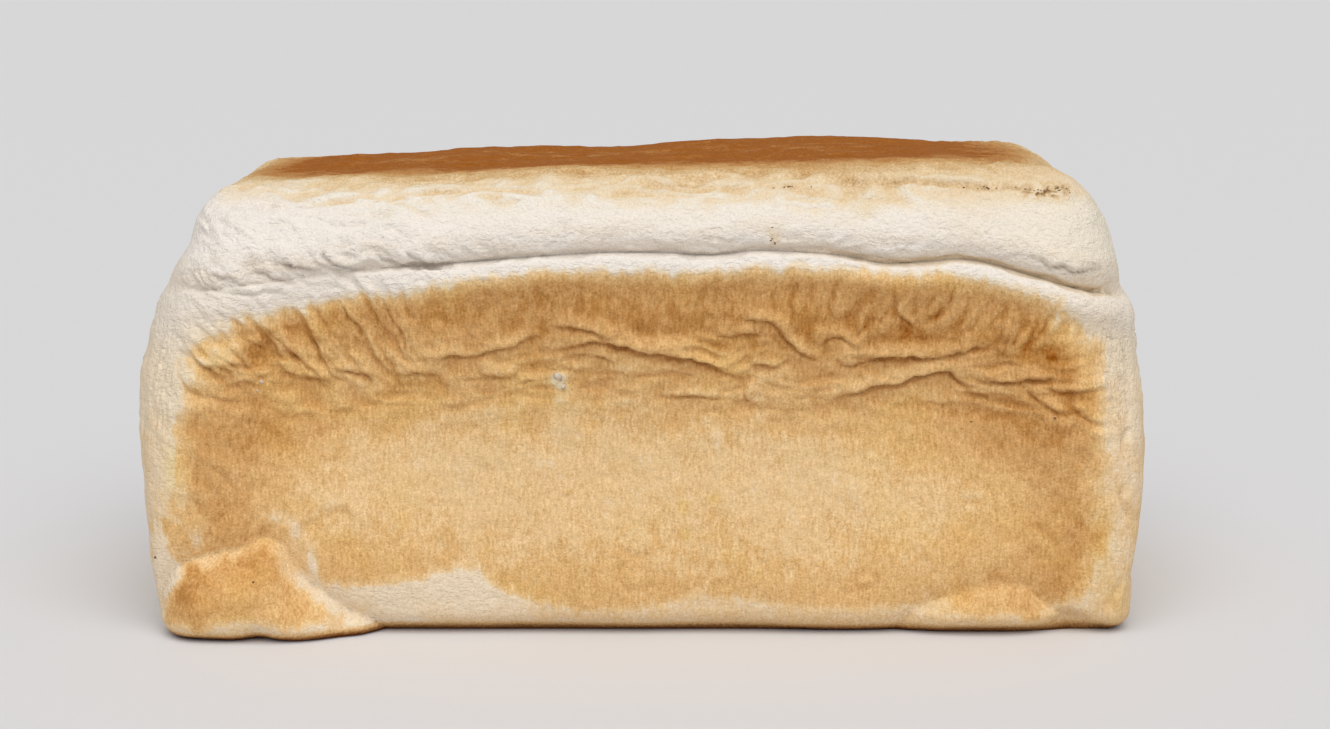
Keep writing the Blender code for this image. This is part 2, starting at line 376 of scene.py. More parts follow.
    def over_crust(self, box: Array, out: Array) -> tuple[Array, Array]:
        """Distance over the crust from the flat of the top, and the place on the flat it is measured from.

        Args:
            box: Points on the surface of the loaf's plain box.
            out: Their outward directions.

        Returns:
            The distances, 0 on the flat and positive on the rounded shoulder, and the places.
        """
        core, radius = self.core(box)
        return radius * np.arccos(np.clip(out[:, 2], -1, 1)), core

    def crease_height(self, places: Array) -> Array:
        """Height of the crease all the way round, blended from front to back across each end."""
        share = smooth(places[:, 1] / self.width + 0.5)
        front = through(self.front_crease, places[:, 0])
        back = through(self.back_crease, places[:, 0])
        return front + (back - front) * share

    def leaned(self, places: Array) -> Array:
        """The rounded box with leaning walls, a rising crease and a sagging top.

        Args:
            places: Points on the rounded box.

        Returns:
            The points moved.
        """
        x, y, z = places.T
        end_fall = np.where(x < 0, through(self.end_falls[-1], z), through(self.end_falls[1], z))
        side_fall = through(self.side_fall, z)
        rise = self.crease_height(places) - self.crease_level
        top_rise = through(self.top_rise, x) - self.top_sag * (1.0 - (2 * y / self.width) ** 2)
        over = (z - self.crease_level) / (self.height - self.crease_level)
        above = rise + (top_rise - rise) * over
        lifted = np.where(z < self.crease_level, rise * z / self.crease_level, above)
        return np.stack(
            (x * (1 - 2 * end_fall / self.length), y * (1 - 2 * side_fall / self.width), z + lifted), axis=1
        )

    def crease_strength(self, places: Array) -> Array:
        """Share of the crease's full depth at each place: faint at one corner of each long wall."""
        front, back = (
            self.faint_crease + (1 - self.faint_crease) * smooth((places[:, 0] - faint) / (full - faint))
            for faint, full in self.crease_fades
        )
        return front + (back - front) * smooth(places[:, 1] / self.width + 0.5)

    def shoulder_offset(self, out: Array, places: Array, level: Array) -> Array:
        """How far the roll, the lip and the crease stand out from the rounded box.

        Args:
            out: Outward directions.
            places: Points on the leaning box.
            level: Height of the crease at each.

        Returns:
            The distances.
        """
        drop = places[:, 2] - level
        roll = self.roll_puff * smooth(drop / self.roll_rise) * (1 - smooth(out[:, 2]))
        lip = self.lip_puff * bell(drop, -self.lip_drop, self.lip_drop) * (drop < self.lip_drop)
        reach = np.where(drop > 0, self.crease_over, self.crease_under)
        into = np.clip(1 - np.abs(drop) / reach, 0, 1)
        groove = self.crease_depth * (1 - np.sqrt(1 - into * into))
        level_out = np.hypot(out[:, 0], out[:, 1]).clip(0.01)
        share = self.end_share + (1 - self.end_share) * smooth(np.abs(out[:, 1]) / level_out)
        return share * (roll + self.crease_strength(places) * (lip - groove))

    def hollow_offset(self, places: Array, out: Array) -> Array:
        """How far each wall sinks between its rims.

        Args:
            places: Points on the leaning box.
            out: Their outward directions.

        Returns:
            The distances, below 0.
        """
        height = places[:, 2]
        offset = np.zeros(len(places))
        for wall, (deepest, line, half, fade) in self.hollows.items():
            rising = np.where(
                height < line,
                (height - self.hollow_foot) / (line - self.hollow_foot),
                (self.hollow_top - height) / (self.hollow_top - line),
            )
            share = smooth((half + fade / 2 - np.abs(wall.along(places))) / fade)
            offset -= deepest * smooth(rising) * share * wall.facing(out)
        return offset

    def tuck_moves(self, box: Array, places: Array, out: Array) -> Array:
        """How far, and which way, the folded-under tucks stand out, with the crease round each.

        Args:
            box: Points on the surface of the loaf's plain box.
            places: The same points on the leaning box.
            out: Their outward directions.

        Returns:
            The moves.
        """
        moves = np.zeros_like(places)
        for tuck in self.tucks:
            axis, side = tuck.wall.value
            half = (self.length, self.width)[axis] / 2
            under = smooth(1 - (half - side * box[:, axis]) / self.tuck_under) * (box[:, 2] < self.base_edge)
            depth_in = inside(tuck.outline, tuck.wall.along(places), places[:, 2])
            rise = np.clip(depth_in / self.tuck_rise, 0, 1)
            pillow = (np.sqrt(1 - (1 - rise) ** 2) + smooth(rise)) / 2
            hang = self.tuck_head + (1 - self.tuck_head) * smooth(2 - places[:, 2] / self.tuck_drop)
            facing = tuck.wall.facing(out)
            swell = tuck.puff * pillow * hang * np.maximum(facing, under)
            crease = tuck.depth * np.exp(-np.abs(depth_in) / self.tuck_reach) * facing
            moves[:, axis] += side * (swell - crease)
        return moves

    def swell_offset(self, places: Array) -> Array:
        """Slow unevenness of the crust."""
        return sum(size * np.sin(places @ np.array(waves) + phase) for size, waves, phase in self.swells)

    def places(self, box: Array) -> tuple[Array, Array, Array]:
        """Points of the box's surface moved onto the crust.

        Args:
            box: Points on the surface of the loaf's plain box.

        Returns:
            The points on the crust, their outward directions, and the height of the crease there.
        """
        rounded, out = self.rounded_box(box)
        places = self.leaned(rounded)
        wall_share = 1 - smooth((np.abs(out[:, 2]) - 0.35) / 0.6)
        level = self.crease_height(rounded)
        side = self.shoulder_offset(out, places, level) * (1 - smooth(-out[:, 2]))
        offset = side + self.hollow_offset(places, out) * wall_share + self.swell_offset(places)
        moved = places + offset[:, None] * out + self.tuck_moves(box, places, out)
        over = np.clip(2 * (places[:, 2] - level) / self.crease_over, 0, None)
        hang = self.roll_hang * over * np.exp(1 - over)
        moved[:, 2] -= hang * self.crease_strength(places) * smooth(2 * np.abs(out[:, 1]) - 0.6)
        lift = self.base_lift * band(moved[:, 0], *self.base_lift_ends, 0.014)
        for along, half_width, height in self.notches:
            lift += height * np.exp(-(((moved[:, 0] - along) / half_width) ** 2))
        moved[:, 2] += lift * smooth(-2 * out[:, 1]) * smooth(1 - moved[:, 2] / self.notch_top)
        on_table = (box[:, 2] <= 0) & (np.abs(out[:, 2]) > 0.999)
        moved[:, 2] = np.where(on_table, 0.0, np.maximum(moved[:, 2], 0.0))
        return moved, out, level


@dataclass(frozen=True)
class Fold:
    """One wrinkle of the crust, as a ridge that hangs over a groove.

    Attributes:
        route: Its points on the wall in millimetres, as (along, height).
        depth: Depth of its groove in millimetres.
        width: Half its groove's width in millimetres.
        lift: Height of the ridge on the left of the route in millimetres.
        ridge: How far the ridge's crest is from the groove in millimetres.
    """

    route: Route
    depth: float = 0.7
    width: float = 0.9
    lift: float = 0.5
    ridge: float = 2.2

    def height_at(self, along: Array, height: Array) -> Array:
        """How far the fold moves the wall out.

        Args:
            along: Distances along the wall, in metres.
            height: Heights, in metres.

        Returns:
            The distances, in metres.
        """
        line = curved(np.array(self.route) * MM, 4)
        reach = (4 * self.ridge + self.width) * MM
        low, high = line.min(axis=0) - reach, line.max(axis=0) + reach
        near = (along > low[0]) & (along < high[0]) & (height > low[1]) & (height < high[1])
        raised = np.zeros(len(along))
        if not near.any():
            return raised
        a, h = along[near], height[near]
        best = np.full(len(a), np.inf)
        offset, run = np.zeros(len(a)), np.zeros(len(a))
        lengths = np.hypot(*np.diff(line, axis=0).T)
        whole = lengths.sum()
        done = 0.0
        for (a0, h0), (a1, h1), length in zip(line[:-1], line[1:], lengths):
            ux, uz = (a1 - a0) / length, (h1 - h0) / length
            t = np.clip((a - a0) * ux + (h - h0) * uz, 0, length)
            dx, dz = a - a0 - t * ux, h - h0 - t * uz
            distance = np.hypot(dx, dz)
            closer = distance < best
            best = np.where(closer, distance, best)
            offset = np.where(closer, np.copysign(distance, ux * dz - uz * dx), offset)
            run = np.where(closer, (done + t) / whole, run)
            done += length
        taper = np.sqrt(np.clip(4 * run * (1 - run), 0, 1))
        groove = self.depth * MM * np.exp(-((offset / (self.width * MM)) ** 2))
        over = np.clip(offset / (self.ridge * MM), 0, None)
        crest = self.lift * MM * over * np.exp(1 - over)
        fade = smooth((reach - best) / (0.4 * reach))
        raised[near] = (crest - groove) * taper * fade
        return raised

    def mirrored(self) -> "Fold":
        """The same fold seen from behind the wall."""
        return replace(self, route=tuple((-a, h) for a, h in reversed(self.route)))


@dataclass(frozen=True)
class FoldFan:
    """Short creases of the crust that fan out along a wall.

    Attributes:
        along: The stretch of wall it covers, in millimetres.
        heights: Lowest and highest middle of a crease at each end of the stretch, in millimetres.
        slants: Angle of the creases at the two ends of the stretch, in degrees.
        lengths: Shortest and longest crease, in millimetres.
        depths: Shallowest and deepest crease, in millimetres.
        count: Number of creases.
        seed: Picks one arrangement.
    """

    along: tuple[float, float]
    heights: tuple[tuple[float, float], tuple[float, float]]
    slants: tuple[float, float]
    lengths: tuple[float, float]
    depths: tuple[float, float]
    count: int
    seed: int

    def folds(self) -> list[Fold]:
        """Its creases, one after another along the wall."""
        pick = random.Random(self.seed)
        made = []
        for i in range(self.count):
            share = (i + pick.uniform(0.1, 0.9)) / self.count
            x = self.along[0] + (self.along[1] - self.along[0]) * share
            low, high = (a + (b - a) * share for a, b in zip(*self.heights))
            z = pick.uniform(low, high)
            slant = self.slants[0] + (self.slants[1] - self.slants[0]) * share + pick.uniform(-9, 9)
            half = pick.uniform(*self.lengths) / 2
            dx, dz = half * math.cos(math.radians(slant)), half * math.sin(math.radians(slant))
            bow = pick.uniform(-0.14, 0.14) * half
            middle = (x - bow * dz / half, z + bow * dx / half)
            depth = pick.uniform(*self.depths)
            route = ((x - dx, z - dz), middle, (x + dx, z + dz))
            made.append(Fold(route, depth, pick.uniform(0.45, 0.7), 0.8 * depth, pick.uniform(0.8, 1.2)))
        return made


def ring(middle: tuple[float, float], half: tuple[float, float]) -> Fold:
    """A shallow ring pressed into the front.

    Args:
        middle: Its middle, in millimetres.
        half: Half its length and height.

    Returns:
        The ring as one closed fold.
    """
    corners = [math.radians(angle) for angle in range(60, 421, 45)]
    route = tuple((middle[0] + half[0] * math.cos(c), middle[1] + half[1] * math.sin(c)) for c in corners)
    return Fold(route, 0.48, 0.50, 0.26, 1.0)


FRONT_FOLDS = tuple(
    Fold(tuple(zip(row[4::2], row[5::2])), *row[:4])
    for row in (
        (0.74, 0.62, 1.02, 1.12, -89, 85.5, -85.5, 81.5, -83, 76, -79.5, 68.5, -75.5, 65),
        (0.6, 0.56, 0.81, 0.99, -96.5, 81, -92, 77, -88, 72.5, -83, 68.5, -79, 65.5),
        (0.5, 0.56, 0.4, 1.1, -111, 73.5, -107, 70.5, -102, 67.5),
        (0.54, 0.5, 0.61, 0.81, -100, 77, -96, 74.5),
        (0.61, 0.56, 0.7, 0.99, -76.5, 87.5, -72, 80, -68.5, 75.5),
        (0.61, 0.56, 0.7, 0.99, -65.5, 89, -63, 82.5, -60, 75.5, -57.5, 70.5),
        (0.6, 0.74, 0.34, 1.4, -118.5, 68.5, -115.5, 65, -112, 63.5, -104.5, 61),
        (0.68, 0.56, 0.81, 0.99, -92.5, 68.5, -88, 68, -83, 67, -80.5, 65),
        (0.68, 0.56, 0.81, 0.99, -78, 69.5, -74, 68.5, -70.5, 67.5, -69, 65),
        (0.81, 0.56, 1.02, 1.12, -63.5, 68, -57.5, 68.5, -51.5, 67.5),
        (0.74, 0.56, 1.02, 1.12, -54, 70.5, -50, 72.5, -43, 72.5, -39, 74.5, -34.5, 75.5, -26, 78),
        (0.68, 0.56, 0.81, 0.99, -43, 70, -40, 68, -34, 68, -30.5, 69),
        (0.68, 0.5, 0.61, 0.87, -33, 65.5, -27, 66),
        (0.68, 0.56, 1.22, 1.12, -22, 80.5, -16, 80.5, -11, 78.5, -5, 78),
        (0.81, 0.56, 1.02, 1.05, -23.5, 73.5, -18, 75, -12, 76.5, -6, 75.5, -1, 75),
        (0.54, 0.5, 0.61, 0.81, -12, 73, -7, 70.5),
        (1.3, 0.68, 1.62, 1.36, -11, 78, -5.5, 75.5, 2, 73.5, 9.5, 73, 16, 70.5, 21.5, 68.5, 26.5, 66.5),
        (0.68, 0.56, 0.81, 0.99, 18, 77.5, 23.5, 78.5, 30, 79),
        (0.68, 0.56, 1.41, 0.99, 25.5, 82.5, 31, 82.5, 34.5, 80.5, 37, 77, 41, 73.5, 45, 72),
        (0.68, 0.56, 0.81, 0.93, 45, 75.5, 48.5, 78, 54, 75),
        (1.08, 0.62, 1.22, 1.18, 48.5, 72.5, 52.5, 70, 60, 72, 70, 72, 77.5, 73, 82, 74.5, 88.5, 75),
        (1.3, 0.68, 1.62, 1.36, 48.5, 61.5, 58, 64, 65.5, 65, 71, 67, 77, 68.5, 82.5, 64.5, 86, 64.5),
        (1.08, 0.62, 1.02, 1.12, 85, 66, 91.5, 66, 97, 66.5, 104.5, 67.5),
        (0.68, 0.56, 0.81, 0.93, 97.5, 64, 101, 61.5, 105, 58.5),
        (0.68, 0.56, 0.81, 0.93, 107.5, 61.5, 111.5, 57.5, 117, 55.5),
        (0.68, 0.62, 0.81, 0.99, 103, 65, 109.5, 64, 118, 64.5),
        (0.54, 0.5, 0.61, 0.87, 112.5, 53.5, 118.5, 50.5),
        (1.08, 0.43, 0.81, 0.93, 4.5, 62.5, 9.5, 62, 15, 62.5, 21.5, 61.5),
        (0.68, 0.43, 0.41, 0.81, 26, 66.5, 26.5, 61.5, 30, 59.5),
        (0.54, 0.56, 0.61, 0.93, 63, 90.5, 65, 84, 68, 80.5),
        (0.68, 0.56, 0.81, 0.99, 79, 91.5, 76.5, 85, 71, 80.5),
        (0.61, 0.56, 0.61, 0.99, 92, 86, 90, 78.5, 88.5, 75.5),
        (0.68, 0.56, 0.81, 0.99, 104, 85.5, 100.5, 79.5, 97, 76.5),
        (0.54, 0.56, 0.61, 0.93, 59.5, 83, 54, 78.5, 52.5, 76.5),
        (0.41, 0.37, 0, 0.62, 20.5, 54.5, 25, 47),
        (0.68, 0.56, 0.81, 0.93, 26.5, 71, 33.5, 70, 37.5, 71.5),
        (0.34, 0.37, 0, 0.62, 67, 41, 69, 35.5),
        (0.94, 0.5, 1.02, 1.24, -81, 99.5, -76, 96.5, -69.5, 95.5),
        (1.22, 0.56, 1.02, 1.36, -67.5, 99, -62.5, 97, -55, 96.5, -47, 97),
        (0.68, 0.5, 0.81, 1.12, -109, 94.5, -104, 93, -99.5, 91.5),
        (0.81, 0.5, 0.81, 1.12, -98.5, 94.5, -93, 93.5, -86.5, 91.5),
        (0.68, 0.5, 0.61, 1.12, -115.5, 90, -107.5, 90.5, -99, 89.5, -89, 89.5),
        (0.81, 0.5, 0.81, 1.12, -93.5, 98, -87, 96, -81, 95),
        (0.68, 0.5, 0.81, 0.99, -59.5, 99.5, -53.5, 97),
        (0.4, 0.6, 0.35, 1.4, 13.5, 56.5, 15.3, 53, 18.8, 47),
        (0.3, 0.5, 0.25, 1.1, 16.2, 45.5, 17.6, 41.5),
        (0.3, 0.5, 0.25, 1.1, 10.2, 31.5, 9.6, 28, 9.9, 25),
        (0.34, 0.55, 0.3, 1.2, 51.4, 39, 53, 35, 53.6, 31.5),
        (0.22, 0.6, 0.2, 1.4, 36, 32, 35.2, 24, 36.4, 14),
        (0.2, 0.5, 0.2, 1.2, 29.5, 26, 30.4, 18),
        (0.45, 0.6, 0.4, 1.4, -112, 46, -107.5, 42.5, -104, 38),
        (0.45, 0.6, 0.4, 1.4, -118.5, 37, -114.5, 35.5, -112.5, 31),
        (0.45, 0.6, 0.4, 1.4, -82, 31.5, -78, 33.5, -74.5, 31),
        (0.4, 0.55, 0.35, 1.3, -89, 27.5, -86, 29.5, -82.5, 30.5),
        (0.9, 0.6, 0.45, 1.4, 122.6, 85, 123.4, 78, 124.2, 70, 124.4, 60, 123.6, 54),
        (1.3, 1.2, 0.5, 1.6, 124.8, 53.5, 123.8, 50.5, 124.6, 47),
        (1.3, 0.9, 0.6, 1.6, 124, 40, 122.6, 36.5, 123.6, 31.5),
        (1, 0.65, 0.6, 1.4, 124.4, 15, 121.4, 10, 118, 4.5),
        (0.9, 0.5, 0.7, 1.2, 97, 98.6, 104.9, 96, 111.6, 94.6, 118, 95.6),
        (0.5, 0.7, 0.3, 1.6, -128.6, 34, -129.8, 48, -129.2, 62, -127.4, 76),
    )
) + (
    ring((-2, 25.2), (5, 4.2)),
    ring((-1.6, 15.8), (4.2, 3.4)),
    ring((57, 14.6), (2.6, 2)),
    ring((84.5, 37.5), (3.2, 2.2)),
)
FRONT_FANS = (
    FoldFan((-116, -46), ((68, 80), (73, 90)), (-42, -78), (7, 16), (0.24, 0.48), 34, 3),
    FoldFan((-114, -58), ((66, 76), (70, 84)), (-40, -66), (10, 20), (0.34, 0.62), 13, 10),
    FoldFan((-46, 34), ((74, 88), (78, 91)), (-70, -84), (5, 11), (0.12, 0.26), 20, 4),
    FoldFan((36, 112), ((76, 90), (68, 84)), (-100, -118), (6, 13), (0.26, 0.55), 26, 5),
    FoldFan((-112, 114), ((58, 74), (58, 72)), (6, -6), (8, 20), (0.20, 0.42), 40, 6),
    FoldFan((-116, -92), ((34, 60), (34, 58)), (-50, -35), (5, 12), (0.12, 0.28), 10, 7),
    FoldFan((96, 118), ((32, 60), (30, 62)), (-140, -150), (5, 11), (0.14, 0.30), 10, 8),
    FoldFan((-108, -40), ((98, 106), (98, 104)), (-38, -20), (8, 18), (0.14, 0.34), 16, 9),
)


@dataclass(frozen=True)
class Skin:
    """Points on the loaf's plain form, and what is known of each.

    Attributes:
        places: The points.
        out: Their outward directions.
        level: Height of the crease there.
        arc: Distance over the crust from the flat of the top.
        spread: Distance over the crust from the edge of the deep brown of the top.
        strength: Share of the crease's full depth there.
    """

    places: Array
    out: Array
    level: Array
    arc: Array
    spread: Array
    strength: Array

    @property
    def rise(self) -> Array:
        """Height above the crease."""
        return self.places[:, 2] - self.level

    @property
    def long_walls(self) -> Array:
        """1 on the two long walls and 0 on the ends."""
        return eased(np.abs(self.out[:, 1]), 0.3, 0.8)


@dataclass(frozen=True)
class Crepe:
    """Fine irregular creases that fan out from a point, as where the dough dragged down its tin.

    Attributes:
        wall: The wall.
        pivot: The point, in millimetres, as (along, height).
        along: The stretch of wall it covers, in millimetres.
        heights: The heights it covers.
        fade: Width it fades over.
        gap: How far apart its creases are.
        length: How long they are.
        height: How high its ridges are, in millimetres.
        seed: Picks one pattern.
        warp: How far the creases stray, across and along them.
        patches: Least and most that a patch of them stands out, as shares, and the size of a patch in metres.
    """

    wall: Wall
    pivot: tuple[float, float]
    along: tuple[float, float]
    heights: tuple[float, float]
    fade: float
    gap: float
    length: float
    height: float
    seed: int
    warp: tuple[float, float] = (2.5, 3.0)
    patches: Triple = (0.0, 1.2, 0.018)

    def raised(self, skin: Skin) -> Array:
        """How far the creases move the crust out, in metres."""
        x, z = self.wall.along(skin.places) / MM, skin.places[:, 2] / MM
        warp = Unevenness(self.seed + 50, 0.014, 2).at(skin.places)
        dx, dz = x - self.pivot[0], z - self.pivot[1]
        far = math.dist(self.pivot, (sum(self.along) / 2, sum(self.heights) / 2))
        across, run = np.arctan2(dx, dz) * far, np.hypot(dx, dz)
        fan = np.stack((across + self.warp[0] * warp, run + self.warp[1] * warp, 0 * x), axis=1)
        ridge = 1 - np.abs(Unevenness(self.seed, (self.gap, self.length, 1.0), 1, 3.2).at(fan))
        ridge += Unevenness(self.seed + 1, (self.gap / 2, self.length / 2, 1.0), 1, 0.5).at(fan)
        least, most, patch_size = self.patches
        patch = np.clip(0.6 + Unevenness(self.seed + 2, patch_size, 1, 0.8).at(skin.places), least, most)
        window = band(x, *self.along, 3 * self.fade) * band(z, *self.heights, self.fade)
        return self.height * MM * ridge * patch * window * self.wall.facing(skin.out, 1.6)


@dataclass(frozen=True)
class Seam:
    """The thin seam where the lid pressed the front of the top crust: a lip with a groove in front of it.

    Attributes:
        from_flat: How far it lies from the flat of the top, over the crust.
        drifts: How far it strays.
        span: Its two ends along the loaf, and the width they fade over.
        faint: Its faint middle along the loaf, and how far to each side it starts to show and shows most.
        faintest: Share of it that shows in the middle.
        patches: How unevenly it shows.
        lip: The lip's height in millimetres, its distance behind the groove and its half width.
        groove: The groove's depth in millimetres and its half width.
    """

    from_flat: float = 0.0165
    drifts: tuple[Unevenness, ...] = (
        Unevenness(16, (0.040, 1, 1), 1, 0.0022), Unevenness(17, (0.007, 1, 1), 2, 0.0013)
    )
    span: Triple = (-0.098, 0.099, 0.024)
    faint: Triple = (0.005, 0.040, 0.060)
    faintest: float = 0.25
    patches: Unevenness = Unevenness(18, (0.015, 1, 1), 1, 0.5)
    lip: Triple = (0.60, -0.0018, 0.0016)
    groove: tuple[float, float] = (1.6, 0.0009)

    def raised(self, skin: Skin, turned: Array) -> Array:
        """How far it moves the crust out, in millimetres.

        Args:
            skin: The loaf's plain form.
            turned: Its points as (x, distance from the deep brown of the top, 0).

        Returns:
            The distances.
        """
        x, y = skin.places[:, 0], skin.places[:, 1]
        line = skin.arc - self.from_flat - summed(self.drifts, turned)
        middle, start, full = self.faint
        shown = self.faintest + (1 - self.faintest) * eased(np.abs(x - middle), start, full)
        shown *= 0.8 + self.patches.at(turned)
        shown *= eased(y, 0.0, -0.02) * band(x, *self.span) * eased(skin.out[:, 2], 0.35, 0.60)
        lip_height, behind, half = self.lip
        depth, width = self.groove
        return shown * (lip_height * bell(line, behind, half) - depth * bell(line, 0.0, width))


@dataclass(frozen=True)
class Relief:
    """Everything on the crust too fine for the solid: wrinkles, ripples, pits and the rough of the roll.

    Places and sizes are in metres, and how far a layer stands out is in millimetres.

    Attributes:
        walls: The folds of each wall.
        crepes: The fine creases of each wall.
        seam: The seam at the front of the top crust.
        drifts: How far the folds stray along and up their wall.
        zones: Heights of a wall's puckered middle and its smoother foot, and the unevenness of each.
        fringe: The same just under the crease, measured down from it.
        wobble: How far the groove strays from the crease.
        groove: Depth of the groove, and half its width in metres.
        rough: The rough of the roll.
        dragged: What is added to it towards the crease, and the height it reaches above the crease.
        slow: The roll's slow unevenness, and how far it stands out.
        crinkled: How far from the deep brown of the top the crust is crinkled, and how that fades.
        crinkles: The crinkles there.
        fine_crinkles: Finer ones over them.
        crinkle_height: How far the crinkles stand out.
        top: Unevenness of the deep brown of the top.
        all_over: Unevenness of the whole crust.
    """

    walls: dict[Wall, tuple[Fold, ...]]
    crepes: tuple[Crepe, ...]
    seam: Seam = Seam()
    drifts: tuple[Unevenness, ...] = (Unevenness(41, 0.0062, 3, 0.0010), Unevenness(42, 0.0054, 3, 0.0008))
    zones: tuple[tuple[Triple, tuple[Unevenness, ...]], ...] = (
        (
            (0.050, 0.082, 0.014),
            (Unevenness(12, (0.0085, 0.03, 0.0060), 2, 0.5), Unevenness(2, (0.013, 0.03, 0.0048), 3, 0.28)),
        ),
        (
            (0.004, 0.054, 0.012),
            (Unevenness(3, (0.007, 0.03, 0.010), 3, 0.26), Unevenness(4, (0.0019, 0.03, 0.012), 1, 0.07)),
        ),
    )
    fringe: tuple[Triple, Unevenness] = ((0.005, 0.024, 0.008), Unevenness(1, (0.0034, 0.05, 0.019), 2, 0.20))
    wobble: Unevenness = Unevenness(10, (0.013, 0.02, 0.05), 3, 0.0012)
    groove: tuple[float, float] = (0.8, 0.0007)
    rough: Unevenness = Unevenness(5, 0.0040, 3, 0.21)
    dragged: tuple[Unevenness, float] = (Unevenness(13, (0.0030, 0.0018, 0.0018), 2, 0.105), 0.016)
    slow: tuple[Unevenness, float] = (Unevenness(6, (0.016, 0.008, 0.008), 2), 0.24)
    crinkled: Triple = (0.001, 0.029, 0.008)
    crinkles: Unevenness = Unevenness(7, (0.012, 0.0036, 0.01), 1, 3.2)
    fine_crinkles: Unevenness = Unevenness(11, (0.006, 0.0024, 0.004), 2, 0.6)
    crinkle_height: float = 0.55
    top: tuple[Unevenness, ...] = (
        Unevenness(8, (0.012, 0.006, 0.01), 3, 0.32), Unevenness(15, (0.017, 0.012, 0.01), 2, 0.45)
    )
    all_over: Unevenness = Unevenness(9, 0.010, 2, 0.12)

    def wrinkles(self, skin: Skin) -> Array:
        """How far the folds move the crust out, in metres."""
        raised = np.zeros(len(skin.places))
        for wall, folds in self.walls.items():
            facing = wall.facing(skin.out, 1.6)
            shown = facing > 0.01
            along, height = wall.along(skin.places)[shown], skin.places[shown, 2]
            flat = np.stack((along, height, np.zeros_like(along)), axis=1)
            along = along + self.drifts[0].at(flat)
            height = height + self.drifts[1].at(flat)
            raised[shown] += sum(fold.height_at(along, height) for fold in folds) * facing[shown]
        return raised

    def ripples(self, skin: Skin) -> Array:
        """How far the finer unevenness of the walls moves the crust out, in metres."""
        z = skin.places[:, 2]
        end_on = eased(np.abs(skin.out[:, 0]), 0.4, 0.9)[:, None]
        turned = skin.places * (1 - end_on) + skin.places[:, [1, 0, 2]] * end_on
        waves = sum(band(z, *heights) * summed(layers, turned) for heights, layers in self.zones)
        depths, layer = self.fringe
        waves += band(-skin.rise, *depths) * layer.at(turned)
        upright = 1 - eased(np.abs(skin.out[:, 2]), 0.3, 0.7)
        creped = sum(crepe.raised(skin) for crepe in self.crepes)
        return creped * np.maximum(upright, eased(z, 0.100, 0.105)) + MM * upright * waves

    def shoulder(self, skin: Skin) -> Array:
        """How far the groove, the rough of the roll, the crinkles and the top's unevenness move the crust."""
        places, spread = skin.places, skin.spread
        drop = skin.rise - self.wobble.at(places)
        upright = 1 - smooth(1.4 * np.abs(skin.out[:, 2]))
        depth, width = self.groove
        groove = -depth * bell(drop, 0.0, width) * skin.long_walls * upright * skin.strength
        dragged, reach = self.dragged
        slow = self.slow[0].at(places)
        rough = self.rough.at(places) + eased(drop, reach, 0.0) * dragged.at(places) + self.slow[1] * slow
        crinkled = band(spread - 0.010 * eased(places[:, 0], -0.066, -0.096), *self.crinkled)
        crinkled *= eased(spread, 0.007, 0.015)
        turned = np.stack((places[:, 0], spread, np.zeros_like(spread)), axis=1)
        crinkle = 1 - np.abs(self.crinkles.at(turned + 0.003 * slow[:, None]))
        crinkle *= 0.75 + Unevenness(14, (0.020, 0.008, 0.008), 1, 0.7).at(places)
        crinkle += self.fine_crinkles.at(places)
        raised = self.seam.raised(skin, turned) + eased(skin.rise, 0.0, 0.004) * rough
        raised += self.crinkle_height * crinkled * crinkle
        raised += eased(spread, 0.0, -0.01) * summed(self.top, places)
        return MM * (groove + raised)

    def offset(self, skin: Skin) -> Array:
        """How far the crust stands out from the plain form, in metres."""
        raised = self.wrinkles(skin) + self.ripples(skin) + self.shoulder(skin)
        raised += MM * self.all_over.at(skin.places)
        return raised * eased(skin.places[:, 2], 0.0, 0.004)


@dataclass(frozen=True)
class Panel:
    """A browned part of a wall.

    Attributes:
        wall: The wall.
        outline: Its edge, in millimetres, as (along, height).
        fades: Width its edge fades over at each height, in metres.
        end_fades: The same, near the ends of the wall.
        levels: How brown it is at each height, as (metres, brownness).
        wander: How far its edge wanders, in metres.
        end_reach: How far from the panel's ends their fades start, and the width they take over in.
        level_drift: How far its levels wander up and down.
    """

    wall: Wall
    outline: Route
    fades: Route
    end_fades: Route
    levels: Route
    wander: float = 0.0010
    end_reach: tuple[float, float] = (0.034, 0.030)
    level_drift: Unevenness = Unevenness(23, (0.034, 0.05, 0.03), 2, 0.0045)

    def share(self, skin: Skin) -> Array:
        """How brown the panel makes each place."""
        along, height = self.wall.along(skin.places), skin.places[:, 2]
        turned = skin.places if self.wall.axis else skin.places[:, [1, 0, 2]]
        reach, width = self.end_reach
        near_end = smooth((np.abs(along) - np.abs(np.array(self.outline)[:, 0]).max() * MM + reach) / width)
        strays = (
            Unevenness(21, (0.0023, 0.05, 0.012), 2, self.wander),
            Unevenness(22, (0.0085, 0.05, 0.010), 3, self.wander),
        )
        depth_in = inside(np.array(self.outline) * MM, along, height) + summed(strays, turned)
        depth_in += near_end * Unevenness(24, (0.0065, 0.05, 0.009), 3, 3.5 * self.wander).at(turned)
        fade = through(self.fades, height) * (1 - near_end) + through(self.end_fades, height) * near_end
        level = through(self.levels, height + self.level_drift.at(turned))
        return level * smooth(depth_in / fade + 0.35) ** 2 * self.wall.facing(skin.out, 1.5)


